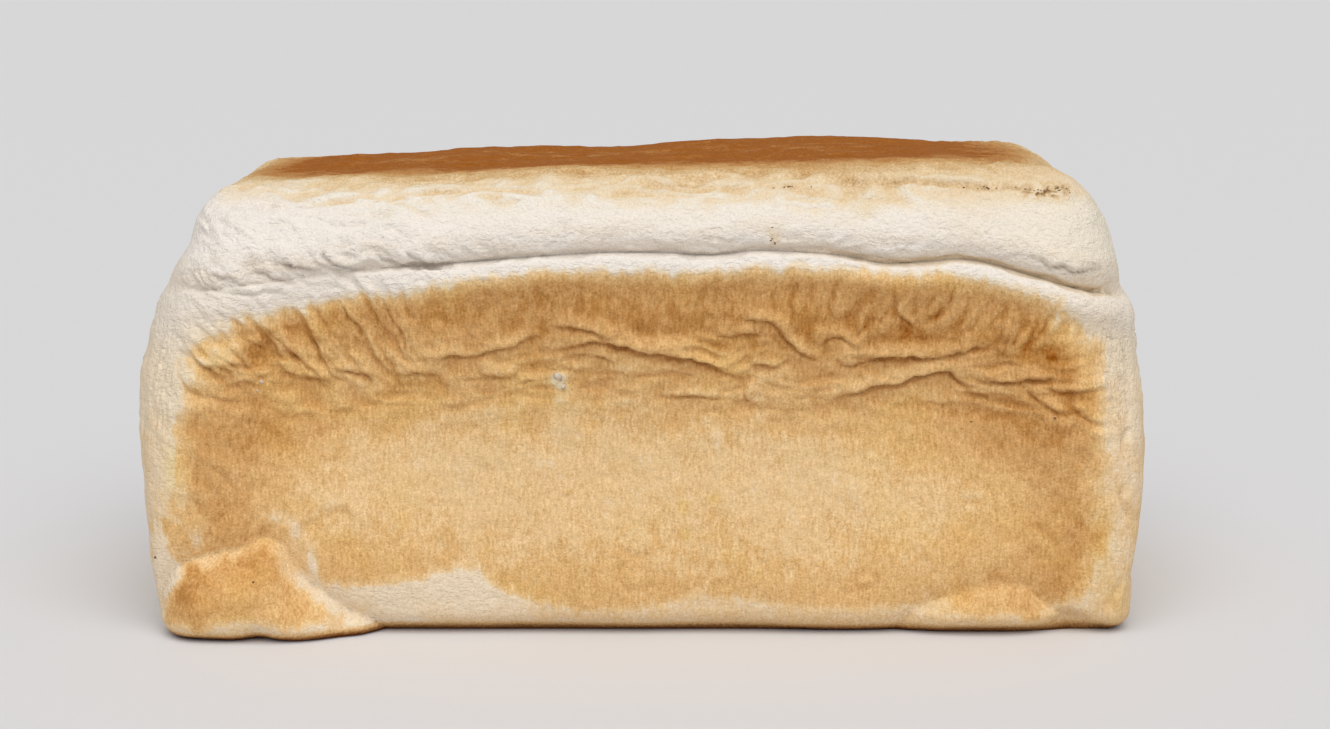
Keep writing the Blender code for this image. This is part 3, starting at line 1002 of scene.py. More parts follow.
@dataclass(frozen=True)
class Blush:
    """A soft darker or paler place on a wall.

    Attributes:
        wall: The wall.
        middle: Its middle, in millimetres, as (along, height).
        half: Half its length and height, in millimetres.
        change: How much browner it is.
        gold: How much more golden it is.
        shade: How much it is shaded or charred.
    """

    wall: Wall
    middle: tuple[float, float]
    half: tuple[float, float]
    change: float
    gold: float = 0.0
    shade: float = 0.0

    def share(self, skin: Skin) -> Array:
        """How far each place is within it, from 0 to 1."""
        along = bell(self.wall.along(skin.places) / MM, self.middle[0], self.half[0])
        height = bell(skin.places[:, 2] / MM, self.middle[1], self.half[1])
        return along * height * self.wall.facing(skin.out, 1.5)


@dataclass(frozen=True)
class Baking:
    """How brown and how golden the oven left each part of the crust, and the shade painted into it.

    Attributes:
        panels: The browned parts of the walls.
        blushes: The darker and paler places on them.
        deep_top: Edge of the deep brown on the flat of the top, in millimetres, as (x, y).
        top_fall: How brown the crust is at each distance from that edge, as (metres, brownness).
        gold_fall: How golden it is there.
        rim_fall: How brown the pale rims of the walls are at each height, as (metres, brownness).
        edge_drift: How far the edge of the top's brown wanders.
        right_end: Where along the loaf the top's brown starts to reach further out, and where it is furthest.
        right_reach: How much further it reaches there.
        blotches: The paler blotches of the deep brown.
        shown_from: How brown a wall is where its panel fully shows.
        wall_mottles: Slow and fine unevenness of the walls' brown.
        ridge_fade: How much paler a ridge a millimetre high is, and browner a groove: partly the crust's own
            tone, partly painted light.
        underside: How brown the base is.
        rim_mottle: Unevenness of the rims' brown.
        amber: Least amber of a panel, and what its blotches add.
        hung: Lowest and highest part of the foot of the roll where shade is painted, above the crease, and
            how it fades.
        core: Middle and half width of the dark line of painted shade in the crease, above the crease.
    """

    panels: tuple[Panel, ...]
    blushes: tuple[Blush, ...]
    deep_top: Route = (
        (-92, -11), (-82, -19), (-50, -23), (-10, -25), (30, -26.5), (66, -27.5), (81, -22), (87, -4),
        (84, 24), (76, 36), (56, 40), (0, 39), (-60, 40), (-88, 35), (-98, 22), (-101, 0),
    )
    top_fall: Route = (
        (-0.030, 0.98), (0.001, 0.97), (0.005, 0.88), (0.009, 0.74), (0.012, 0.62), (0.015, 0.42),
        (0.019, 0.20), (0.022, 0.13), (0.025, 0.09), (0.029, 0.040), (0.040, 0.01),
    )
    gold_fall: Route = ((-0.030, 1.0), (0.024, 1.0), (0.030, 0.4), (0.036, 0.1), (0.044, 0.0))
    rim_fall: Route = (
        (-0.010, 0.20), (0.003, 0.14), (0.010, 0.12), (0.030, 0.135), (0.050, 0.125), (0.066, 0.095),
        (0.078, 0.06), (0.092, 0.025), (0.100, 0.01), (0.130, 0.01),
    )
    edge_drift: Unevenness = Unevenness(31, (0.024, 0.010, 0.010), 3, 0.0026)
    right_end: tuple[float, float] = (0.066, 0.106)
    right_reach: float = 0.011
    blotches: Unevenness = Unevenness(37, (0.013, 0.006, 0.01), 3, 0.20)
    shown_from: float = 0.30
    wall_mottles: tuple[Unevenness, ...] = (
        Unevenness(32, (0.022, 0.03, 0.014), 3, 0.030), Unevenness(33, (0.004, 0.03, 0.006), 3, 0.045)
    )
    ridge_fade: float = 0.26
    underside: float = 0.62
    rim_mottle: Unevenness = Unevenness(34, 0.015, 2, 0.3)
    amber: tuple[float, float] = (0.14, 0.34)
    hung: Triple = (0.0008, 0.0088, 0.0050)
    core: tuple[float, float] = (0.0002, 0.0008)

    def top_brown(self, skin: Skin, edge: Array, right: Array, raised: Array) -> Array:
        """How brown the top and the roll are.

        Args:
            skin: The loaf's plain form.
            edge: Distance over the crust from the edge of the top's brown.
            right: Share of the right end's further reach.
            raised: How far the crust stands out from the plain form.

        Returns:
            The brownness.
        """
        near = edge - self.right_reach * right
        top = through(self.top_fall, near)
        # Crinkle ridges paler and grooves browner near the top's edge: partly the crust's own tone, partly
        # painted highlight and painted shade.
        top -= np.clip(0.14 * raised / MM, -0.07, 0.07) * band(edge, 0.0, 0.030, 0.01)
        top -= np.clip(self.blotches.at(skin.places) + 0.008, -0.05, 0.09) * eased(near, 0.0108, -0.0012)
        top += 0.07 * eased(skin.places[:, 0], -0.086, -0.106) * band(near, 0.012, 0.036, 0.012)
        return top + right * (0.06 * band(near, 0.016, 0.034, 0.010) + 0.01 * eased(skin.rise, 0.0, 0.010))

    def shade(self, skin: Skin, raised: Array, charred: Array) -> tuple[Array, Array, Array]:
        """Painted shade of the crust, with the char of the blushes, and the brown that the painted shade
        adds.

        Args:
            skin: The loaf's plain form.
            raised: How far the crust stands out from the plain form.
            charred: How charred the blushes leave it.

        Returns:
            The painted shade with the char, the brown of the crease's painted dark line, and the least
            brownness of the base's edge, painted dark over the shadowed gap under it.
        """
        x, z = skin.places[:, 0], skin.places[:, 2]
        # Painted shadow: the base's edge and the gap under it go dark where they face down near the table.
        down = eased(skin.out[:, 2], -0.32, -0.72)
        edged, gap = down * eased(z, 0.004, 0.0008), down * eased(z, 0.00192, 0.00072)
        # Painted shade: a dark line along the crease.
        core = bell(skin.rise, *self.core) * (1 - np.abs(skin.out[:, 2])) * skin.strength**2
        core *= eased(x, 0.02, 0.07) * skin.long_walls
        on_side = eased(np.abs(skin.out[:, 1]), 0.2, 0.7) * (0.45 + 0.55 * eased(x, -0.10, -0.05))
        # Painted shade on the crease line, the foot of the roll and the base's edge, added to the char.
        shade = charred + 0.45 * core + 0.34 * self.hanging(skin) * on_side + 0.8 * edged + gap
        # Painted shade in the grooves of the wrinkles on the roll and the top.
        shade += 0.35 * smooth(-2.2 * raised / MM - 0.34) * eased(skin.rise, 0.0, 0.004)
        return shade, 0.06 * core, np.maximum(0.6 * edged, gap)

    def hanging(self, skin: Skin) -> Array:
        """How much shade is painted on each place of the foot of the roll."""
        hung = band(skin.rise, *self.hung) * (1 - smooth(1.4 * np.abs(skin.out[:, 2]) - 0.2))
        return hung * (0.8 + Unevenness(38, (0.012, 0.004, 0.0022), 3, 0.7).at(skin.places))

    def colours(self, skin: Skin, raised: Array) -> Array:
        """How brown, golden and amber the crust is, and the shade painted into it with the char.

        Args:
            skin: The loaf's plain form.
            raised: How far the crust stands out from it.

        Returns:
            Rows of (brownness, goldness, amber, painted shade with char).
        """
        x, _, z = skin.places.T
        edge = skin.spread + self.edge_drift.at(skin.places)
        right = eased(x, *self.right_end)
        top = self.top_brown(skin, edge, right, raised)
        shares = [blush.share(skin) for blush in self.blushes]
        change, amber, charred = (
            sum(getattr(blush, kind) * share for blush, share in zip(self.blushes, shares))
            for kind in ("change", "gold", "shade")
        )
        charred *= smooth(0.5 + Unevenness(39, 0.0022, 2, 1.3).at(skin.places))
        wall = np.maximum.reduce([panel.share(skin) for panel in self.panels])
        shown = smooth(wall / self.shown_from)
        # Ridges paler and grooves browner: partly the crust's own tone, partly painted highlight and painted
        # shade on the folds.
        ridges = np.clip(self.ridge_fade * raised / MM, -0.10, 0.22)
        wall += shown * (change + summed(self.wall_mottles, skin.places) - ridges)
        under = self.underside * smooth(-1.4 * skin.out[:, 2] - 0.35) * eased(z, 0.004, 0.0)
        pale = through(self.rim_fall, z) * (1 + self.rim_mottle.at(skin.places))
        pale *= 0.82 + 0.26 * eased(x, -0.05, 0.03)
        shade, core, least = self.shade(skin, raised, charred)
        # Painted shade also adds brown: on the foot of the roll, in the crease's dark line, and at the base's
        # edge over the gap under it.
        brown = np.maximum.reduce([top, wall, under, pale]) + 0.02 * self.hanging(skin)
        brown = np.maximum(brown + core + 0.22 * np.clip(charred, 0, 1), least)
        gold = through(self.gold_fall, edge - self.right_reach * right)
        gold += 0.8 * right * eased(skin.rise, 0.0, 0.010)
        blotches = smooth(Unevenness(36, 0.016, 3, 1.6).at(skin.places) - 0.1)
        amber += shown * (self.amber[0] + self.amber[1] * blotches)
        return np.clip(np.stack((brown, gold * (1 - shown), amber, shade), axis=1), 0, 1)

    def grains(self, brown: Array) -> Array:
        """How dusted, speckled and creped the crust is at each brownness, as rows ending in 1."""
        dusted = 0.22 + 0.20 * eased(brown, 0.0, 0.15) + 0.58 * eased(brown, 0.10, 0.25)
        speckled = eased(brown, 0.06, 0.30)
        creped = 1 - eased(brown, 0.04, 0.20)
        return np.stack((dusted, speckled, creped, np.ones(len(brown))), axis=1)


class Bench:
    """Lays out the nodes of one material."""

    def __init__(self, name: str) -> None:
        """Start a material whose tree holds a shader and its output."""
        self.material = bpy.data.materials.new(name)
        self.material.use_nodes = True
        self.tree = self.material.node_tree
        self.shader = self.tree.nodes["Principled BSDF"]

    def add(self, kind: str, inputs: dict[int | str, object] = {}, **settings: object) -> bpy.types.Node:
        """Add a node.

        Args:
            kind: The node's type.
            inputs: What goes into its inputs: a value, or the output of another node.
            settings: Its other settings.

        Returns:
            The node.
        """
        node = self.tree.nodes.new(kind)
        for key, value in settings.items():
            setattr(node, key, value)
        for key, value in inputs.items():
            self.put(node.inputs[key], value)
        return node

    def put(self, socket: bpy.types.NodeSocket, value: object) -> None:
        """Set an input, or link it if the value is another node's output."""
        if isinstance(value, bpy.types.NodeSocket):
            self.tree.links.new(value, socket)
        else:
            socket.default_value = value

    def math(self, operation: str, *values: object) -> bpy.types.NodeSocket:
        """The result of arithmetic on values and other nodes' outputs."""
        return self.add("ShaderNodeMath", dict(enumerate(values)), operation=operation).outputs[0]

    def sum_of(self, *terms: tuple[bpy.types.NodeSocket, float, float]) -> bpy.types.NodeSocket:
        """Add up terms of (value, middle, strength), each as strength times value less its middle."""
        total: bpy.types.NodeSocket | float = 0.0
        for value, middle, strength in terms:
            total = self.math("MULTIPLY_ADD", value, strength, total)
            if middle:
                total = self.math("ADD", total, -middle * strength)
        return total

    def ridges(self, value: bpy.types.NodeSocket) -> bpy.types.NodeSocket:
        """Sharp ridges where a noise passes its middle."""
        away = self.math("ABSOLUTE", self.math("ADD", value, -0.5))
        return self.math("MULTIPLY_ADD", away, -3.0, 0.5)

    def mixed(self, share: object, first: object, second: object, blend: str = "MIX") -> bpy.types.NodeSocket:
        """A colour between two others."""
        inputs = {0: share, 6: first, 7: second}
        return self.add("ShaderNodeMix", inputs, data_type="RGBA", blend_type=blend).outputs[2]

    def tinted(self, colour: bpy.types.NodeSocket, share: object, keep: Triple) -> bpy.types.NodeSocket:
        """A colour that keeps only some of its light where the share is 1."""
        return self.mixed(share, colour, (*keep, 1.0), "MULTIPLY")

    def ramp(self, value: object, stops: Sequence[tuple[float, Triple]]) -> bpy.types.NodeSocket:
        """Colour of a value on a ramp of (place, screen colour from 0 to 255)."""
        node = self.add("ShaderNodeValToRGB", {0: value})
        ramp = node.color_ramp
        ramp.interpolation = "EASE"
        while len(ramp.elements) < len(stops):
            ramp.elements.new(0.5)
        for element, (place, _) in zip(ramp.elements, stops):
            element.position = place
        for element, (_, colour) in zip(ramp.elements, stops):
            element.color = (*(linear(c) for c in colour), 1.0)
        return node.outputs[0]

    def noise(self, where: object, scale: float, detail: float, rough: float = 0.5) -> bpy.types.NodeSocket:
        """Even noise of a scale."""
        inputs = {"Vector": where, "Scale": scale, "Detail": detail, "Roughness": rough}
        return self.add("ShaderNodeTexNoise", inputs).outputs[0]


def linear(level: float) -> float:
    """The light of a screen level from 0 to 255."""
    level /= 255
    return level / 12.92 if level <= 0.04045 else ((level + 0.055) / 1.055) ** 2.4


@dataclass(frozen=True)
class CrustFinish:
    """Baked white-loaf crust, from cream to deep brown, with its grain.

    Attributes:
        browns: Colour at each brownness, as screen levels.
        golds: The same on the top crust and round its edge.
        amber: What golden places on the walls keep of the light.
        char: What charred places and places of painted shade keep of it.
        dusting: How strongly its fine grain shows in red, green and blue.
    """

    browns: tuple[tuple[float, Triple], ...] = (
        (0.00, (235, 227, 218)),
        (0.08, (233, 215, 188)),
        (0.17, (227, 193, 145)),
        (0.36, (221, 179, 123)),
        (0.60, (208, 160, 103)),
        (0.80, (188, 135, 76)),
        (1.00, (156, 88, 16)),
    )
    golds: tuple[tuple[float, Triple], ...] = (
        (0.00, (234, 224, 206)),
        (0.08, (227, 207, 176)),
        (0.17, (219, 192, 152)),
        (0.36, (206, 173, 127)),
        (0.60, (194, 152, 99)),
        (0.80, (180, 126, 70)),
        (1.00, (154, 88, 16)),
    )
    amber: Triple = (1.00, 0.96, 0.70)
    char: Triple = (0.50, 0.42, 0.35)
    dusting: Triple = (0.62, 0.72, 1.00)

    def material(self) -> bpy.types.Material:
        """The crust's material, which reads the "crust" and "grain" attributes of its piece."""
        bench = Bench("crust")
        baked = bench.add("ShaderNodeAttribute", attribute_name="crust")
        brown, gold, amber = bench.add("ShaderNodeSeparateColor", {0: baked.outputs["Color"]}).outputs[:3]
        grained = bench.add("ShaderNodeAttribute", attribute_name="grain").outputs["Color"]
        dusted, speckled, creped = bench.add("ShaderNodeSeparateColor", {0: grained}).outputs[:3]
        where = bench.add("ShaderNodeTexCoord").outputs["Object"]
        upright = bench.add("ShaderNodeMapping", {"Vector": where, "Scale": (1.0, 1.0, 0.28)}).outputs[0]
        fine = bench.noise(where, 1250, 2, 0.65)
        mottle = bench.noise(where, 330, 3, 0.60)
        streak = bench.noise(upright, 1500, 1, 0.5)
        speckle = bench.sum_of((fine, 0.5, 0.20), (streak, 0.5, 0.16), (mottle, 0.5, 0.30))
        speckle = bench.math("MULTIPLY", speckle, speckled)
        browned = bench.sum_of((brown, 0.0, 1.0), (speckle, 0.0, 1.0))
        colour = bench.mixed(gold, bench.ramp(browned, self.browns), bench.ramp(browned, self.golds))
        colour = bench.tinted(colour, amber, self.amber)
        # Painted shade and char, read from the crust attribute's alpha, darken the colour with the char tint.
        shade_and_char = bench.sum_of((baked.outputs["Alpha"], 0.0, 1.0), (fine, 0.5, 1.6))
        shade_and_char = bench.math("MULTIPLY", shade_and_char, baked.outputs["Alpha"])
        colour = bench.tinted(colour, shade_and_char, self.char)
        dust = bench.noise(where, 2100, 1, 0.5)
        tone = bench.sum_of((dust, 0.5, 0.95), (streak, 0.5, -0.75), (mottle, 0.5, -0.20))
        tone = bench.math("MULTIPLY", tone, dusted)
        tone = bench.add(
            "ShaderNodeVectorMath", {0: tone, 1: self.dusting, 2: (1.0, 1.0, 1.0)}, operation="MULTIPLY_ADD"
        ).outputs[0]
        colour = bench.add("ShaderNodeVectorMath", {0: colour, 1: tone}, operation="MULTIPLY").outputs[0]
        bench.put(bench.shader.inputs["Base Color"], colour)
        rough = bench.sum_of((brown, 0.0, -0.26), (fine, 0.5, 0.20))
        rough = bench.math("ADD", rough, 0.84)
        bench.put(bench.shader.inputs["Roughness"], rough)
        drawn = bench.add("ShaderNodeMapping", {"Vector": where, "Scale": (0.55, 1.0, 1.0)}).outputs[0]
        crepe = bench.ridges(bench.noise(drawn, 460, 4, 0.60))
        crepe = bench.math("MULTIPLY", crepe, creped)
        height = bench.sum_of((mottle, 0.5, 0.8), (fine, 0.5, 0.40), (streak, 0.5, 0.20), (crepe, 0.0, 0.7))
        bump = bench.add("ShaderNodeBump", {"Strength": 0.8, "Distance": 0.0009, "Height": height})
        bench.put(bench.shader.inputs["Normal"], bump.outputs[0])
        bench.shader.inputs["Specular IOR Level"].default_value = 0.06
        return bench.material


@dataclass(frozen=True)
class SpeckFinish:
    """A small loose or burnt speck, mottled between two colours.

    Attributes:
        name: Its name.
        dark: The darker colour, as screen levels.
        light: The lighter colour.
    """

    name: str
    dark: Triple
    light: Triple

    def material(self) -> bpy.types.Material:
        """The speck's material."""
        bench = Bench(self.name)
        where = bench.add("ShaderNodeTexCoord").outputs["Object"]
        grain = bench.noise(where, 1400, 2, 0.6)
        bench.put(bench.shader.inputs["Base Color"], bench.ramp(grain, ((0.3, self.dark), (0.7, self.light))))
        rough = bench.sum_of((grain, 0.5, 0.3))
        rough = bench.math("ADD", rough, 0.75)
        bench.put(bench.shader.inputs["Roughness"], rough)
        bump = bench.add("ShaderNodeBump", {"Strength": 0.6, "Distance": 0.0002, "Height": grain})
        bench.put(bench.shader.inputs["Normal"], bump.outputs[0])
        return bench.material


def mirrored(folds: Sequence[Fold], keep: int) -> tuple[Fold, ...]:
    """Every fold but each keep-th, seen from the other side of the wall."""
    return tuple(fold.mirrored() for i, fold in enumerate(folds) if i % keep)


def fanned(fans: Sequence[FoldFan]) -> tuple[Fold, ...]:
    """The folds of several fans."""
    return tuple(fold for fan in fans for fold in fan.folds())


CREPES = (
    Crepe(Wall.FRONT, (-27, -8), (-117, -46), (64, 91), 8, 3.6, 15, 0.40, 61),
    Crepe(Wall.FRONT, (-10, -180), (-50, 40), (75, 93), 6, 3.4, 13, 0.26, 64),
    Crepe(Wall.FRONT, (-5, -143), (40, 114), (66, 91), 8, 4.2, 16, 0.42, 67),
    Crepe(Wall.FRONT, (400, 66), (-112, 116), (57, 78), 8, 4.2, 14, 0.55, 70),
    Crepe(Wall.FRONT, (-406, 329), (-122, -36), (90, 106), 6, 2.6, 11, 0.55, 101),
    Crepe(Wall.FRONT, (400, 104), (-50, 122), (96, 106), 5, 2.2, 8, 0.26, 104),
    Crepe(Wall.FRONT, (400, 92), (-120, -56), (104, 118), 5, 2.3, 10, 0.60, 107),
    Crepe(Wall.FRONT, (-400, 96), (66, 120), (105, 120), 5, 2.3, 9, 0.36, 109),
    Crepe(Wall.FRONT, (100, 200), (-112, -88), (26, 62), 8, 4.0, 12, 0.25, 73),
    Crepe(Wall.FRONT, (-100, 200), (92, 116), (22, 60), 8, 4.0, 12, 0.25, 76),
    Crepe(Wall.BACK, (-27, -8), (-117, -46), (64, 91), 8, 3.6, 15, 0.45, 81),
    Crepe(Wall.BACK, (-5, -143), (-40, 114), (66, 91), 8, 4.2, 16, 0.40, 84),
    Crepe(Wall.BACK, (400, 66), (-112, 116), (54, 78), 8, 4.4, 15, 0.55, 87),
    Crepe(Wall.LEFT, (0, -60), (-44, 44), (56, 86), 8, 4.0, 15, 0.42, 90),
    Crepe(Wall.RIGHT, (0, -60), (-44, 44), (56, 86), 8, 4.0, 15, 0.42, 93),
)
BACK_FANS = (
    FoldFan((-114, -40), ((64, 80), (72, 88)), (-44, -80), (8, 17), (0.24, 0.5), 28, 13),
    FoldFan((-40, 44), ((74, 88), (76, 90)), (-76, -96), (5, 12), (0.12, 0.3), 20, 14),
    FoldFan((44, 112), ((74, 90), (66, 82)), (-104, -138), (7, 15), (0.2, 0.45), 26, 15),
    FoldFan((-110, 110), ((56, 72), (56, 72)), (10, -10), (10, 22), (0.25, 0.5), 40, 16),
    FoldFan((-100, 100), ((60, 68), (62, 70)), (4, -4), (20, 34), (0.6, 0.95), 9, 17),
)
END_FANS = (
    FoldFan((-42, 42), ((70, 84), (70, 84)), (-62, -118), (6, 14), (0.2, 0.42), 20, 23),
    FoldFan((-40, 40), ((52, 70), (52, 70)), (14, -14), (8, 20), (0.25, 0.55), 18, 24),
    FoldFan((-36, 36), ((84, 96), (84, 96)), (20, -20), (10, 20), (0.2, 0.4), 8, 25),
)
WALL_LEVELS = (
    (0.006, 0.42), (0.012, 0.38), (0.017, 0.33), (0.024, 0.26), (0.032, 0.21), (0.040, 0.19), (0.047, 0.20),
    (0.053, 0.25), (0.058, 0.36), (0.064, 0.50), (0.070, 0.56), (0.076, 0.64), (0.083, 0.70), (0.090, 0.67),
    (0.098, 0.62),
)
TUCK_LEVELS = ((0.000, 0.34), (0.006, 0.42), (0.014, 0.46), (0.020, 0.55), (0.028, 0.46))
HALO_FADES = ((0.000, 0.0070), (0.030, 0.0060))
HALO_LEVELS = ((0.000, 0.14), (0.008, 0.11), (0.016, 0.10), (0.021, 0.15), (0.026, 0.20), (0.031, 0.20))
EDGE_FADES = ((0.008, 0.0065), (0.020, 0.0080), (0.040, 0.0100), (0.100, 0.0085))
END_FADES = (
    (0.010, 0.0130), (0.030, 0.0180), (0.050, 0.0220), (0.064, 0.0320), (0.078, 0.0420), (0.090, 0.0300),
)
TUCK_FADES = ((0.000, 0.0090), (0.010, 0.0060), (0.018, 0.0040), (0.030, 0.0034))
WALL_BAKING = (EDGE_FADES, END_FADES, WALL_LEVELS)
TUCK_BAKING = (TUCK_FADES, TUCK_FADES, TUCK_LEVELS)
PANELS = (
    Panel(Wall.FRONT, (
        (-124, 46), (-122.5, 60), (-118.4, 72.6), (-111.8, 79), (-101.6, 83.6), (-88.9, 86.6), (-76.2, 89),
        (-61.1, 91), (-41, 93.8), (-20.9, 96), (-0.8, 96), (19.3, 95.8), (39.4, 97.2), (59.5, 96.2),
        (79.6, 94.6), (97.3, 91.4), (108.5, 86.4), (116.5, 81), (121.5, 67.4), (122.8, 49.3), (121.6, 31),
        (119.6, 17.8), (112.8, 8), (102, 5.5), (73.7, 7), (55.7, 5.2), (30, 7.6), (14.5, 8.6), (-6, 5.4),
        (-21.5, 5.8), (-36.9, 10.6), (-44.6, 16), (-55, 14.2), (-65, 12.4), (-76, 11.2), (-83, 13),
        (-86.5, 18.5), (-88.2, 25), (-92, 27.6), (-97, 28), (-103, 24.8), (-109, 23.2), (-115, 21.6),
        (-119.5, 19.4), (-121.5, 23), (-123.5, 30), (-125, 40),
    ), *WALL_BAKING),
    Panel(Wall.FRONT, (
        (-124.6, 6), (-123.4, 12), (-120, 17), (-114.8, 19.8), (-108.3, 21.6), (-102.3, 23), (-98, 25.4),
        (-93.8, 23.4), (-90.8, 18), (-87, 13.4), (-81.4, 9.2), (-77, 5), (-84, 2.2), (-92, 2.8), (-99, 4.2),
        (-105, 3.8), (-113, 1.8), (-120, 1.8),
    ), *TUCK_BAKING),
    Panel(Wall.FRONT, (
        (-127, 2), (-125, 19), (-120, 28), (-108, 33), (-92, 33), (-85, 24), (-80, 14), (-73, 6), (-68, -2),
        (-98, -6), (-124, -4),
    ), HALO_FADES, HALO_FADES, HALO_LEVELS, 0.0024),
    Panel(Wall.FRONT, (
        (70, 6), (79, 10.3), (88, 12.6), (98, 12.4), (103, 8), (100, 4), (84, 3.4),
    ), *TUCK_BAKING),
    Panel(Wall.BACK, (
        (-119, 48), (-117, 68), (-108, 81), (-90, 88), (-50, 92.5), (0, 94), (50, 92.5), (92, 87),
        (108, 80), (117, 66), (119, 40), (116, 22), (104, 11), (80, 18), (50, 12), (10, 9), (-40, 10),
        (-80, 8), (-108, 12), (-117, 28),
    ), *WALL_BAKING),
    Panel(Wall.BACK, ((62, 2), (74, 10), (92, 13), (106, 7), (110, 1), (84, -1)), *TUCK_BAKING),
    Panel(Wall.LEFT, (
        (-29, 46), (-29, 62), (-26, 74), (-16, 83), (4, 87.5), (26, 84), (37, 76), (42, 64), (43, 40),
        (41, 22), (34, 18), (18, 22), (4, 14), (-14, 10), (-25, 15), (-28, 28),
    ), *WALL_BAKING),
    Panel(Wall.LEFT, ((4, 1), (10, 8), (20, 11), (32, 7), (36, 0), (20, -2)), *TUCK_BAKING),
    Panel(Wall.RIGHT, (
        (-29, 50), (-29, 64), (-25, 75), (-15, 83), (4, 87), (24, 84), (37, 77), (42, 64), (43, 40),
        (41, 20), (34, 11), (10, 8), (-12, 10), (-18, 16), (-25, 24), (-28, 34),
    ), *WALL_BAKING),
)
BLUSHES = tuple(
    Blush(wall, row[:2], row[2:4], *row[4:])
    for wall, rows in (
        (Wall.FRONT, (
            (112, 42, 20, 28, 0.52), (82, 50, 20, 10, 0.32), (-104, 48, 24, 13, 0.4),
            (-112, 28, 18, 12, 0.22), (-107, 33, 8, 7, 0.14), (-74, 22, 22, 9, 0.1), (98, 72, 18, 10, 0.12),
            (62, 79, 28, 7, 0.1), (-2, 82, 18, 5, 0.1), (44, 63, 12, 5, 0.12), (-84, 93, 30, 5, -0.2),
            (-117, 12, 7, 7, 0.3), (-101, 14, 9, 6, -0.1), (-21.5, 66.5, 2.6, 3.6, -0.42),
            (10.4, 34, 1.5, 2, 0.06, 0.9), (18.2, 36, 1.7, 1.4, 0.06, 0.9), (10.9, 27, 1.3, 1.8, 0.06, 0.9),
            (-120, 44, 2.6, 6, 0.06, 0.9), (117.5, 24, 3, 11, 0.04, 0.7), (121.8, 10, 3, 4.5, 0.04, 0.6),
            (103, 114, 6.5, 1.5, 0.06, 0, 1.7), (88, 115, 7, 0.8, 0.02, 0, 0.7),
            (36, 115.4, 5, 0.6, 0.02, 0, 0.35), (33, 104, 1.6, 2.4, 0.02, 0, 0.3), (-106, 28, 12, 5, 0.12),
            (-112, 38, 12, 12, 0.2), (-106, 76, 8, 5, 0.16), (-4, 70, 9, 4, -0.1), (-58, 64, 6, 3, -0.14),
            (110, 10, 7, 5, 0.2), (98, 52, 10, 7, 0.1),
        )),
        (Wall.BACK, ((108, 42, 17, 26, 0.22), (-108, 42, 20, 24, 0.18))),
        (Wall.LEFT, ((36, 44, 14, 24, 0.16), (-24, 44, 10, 20, 0.14))),
        (Wall.RIGHT, ((36, 44, 14, 24, 0.16), (-24, 44, 10, 20, 0.14))),
    )
    for row in rows
)


def finished(name: str, bm: bmesh.types.BMesh, material: bpy.types.Material) -> bpy.types.Object:
    """A new object in the scene.

    Args:
        name: Its name.
        bm: Its shape, which is freed.
        material: Its material.

    Returns:
        The object.
    """
    mesh = bpy.data.meshes.new(name)
    bm.to_mesh(mesh)
    bm.free()
    mesh.materials.append(material)
    made = bpy.data.objects.new(name, mesh)
    bpy.context.scene.collection.objects.link(made)
    return made


def vectors(items: bpy.types.bpy_prop_collection, name: str) -> Array:
    """One vector of every item of a mesh, as rows."""
    rows = np.empty((len(items), 3))
    items.foreach_get(name, rows.ravel())
    return rows


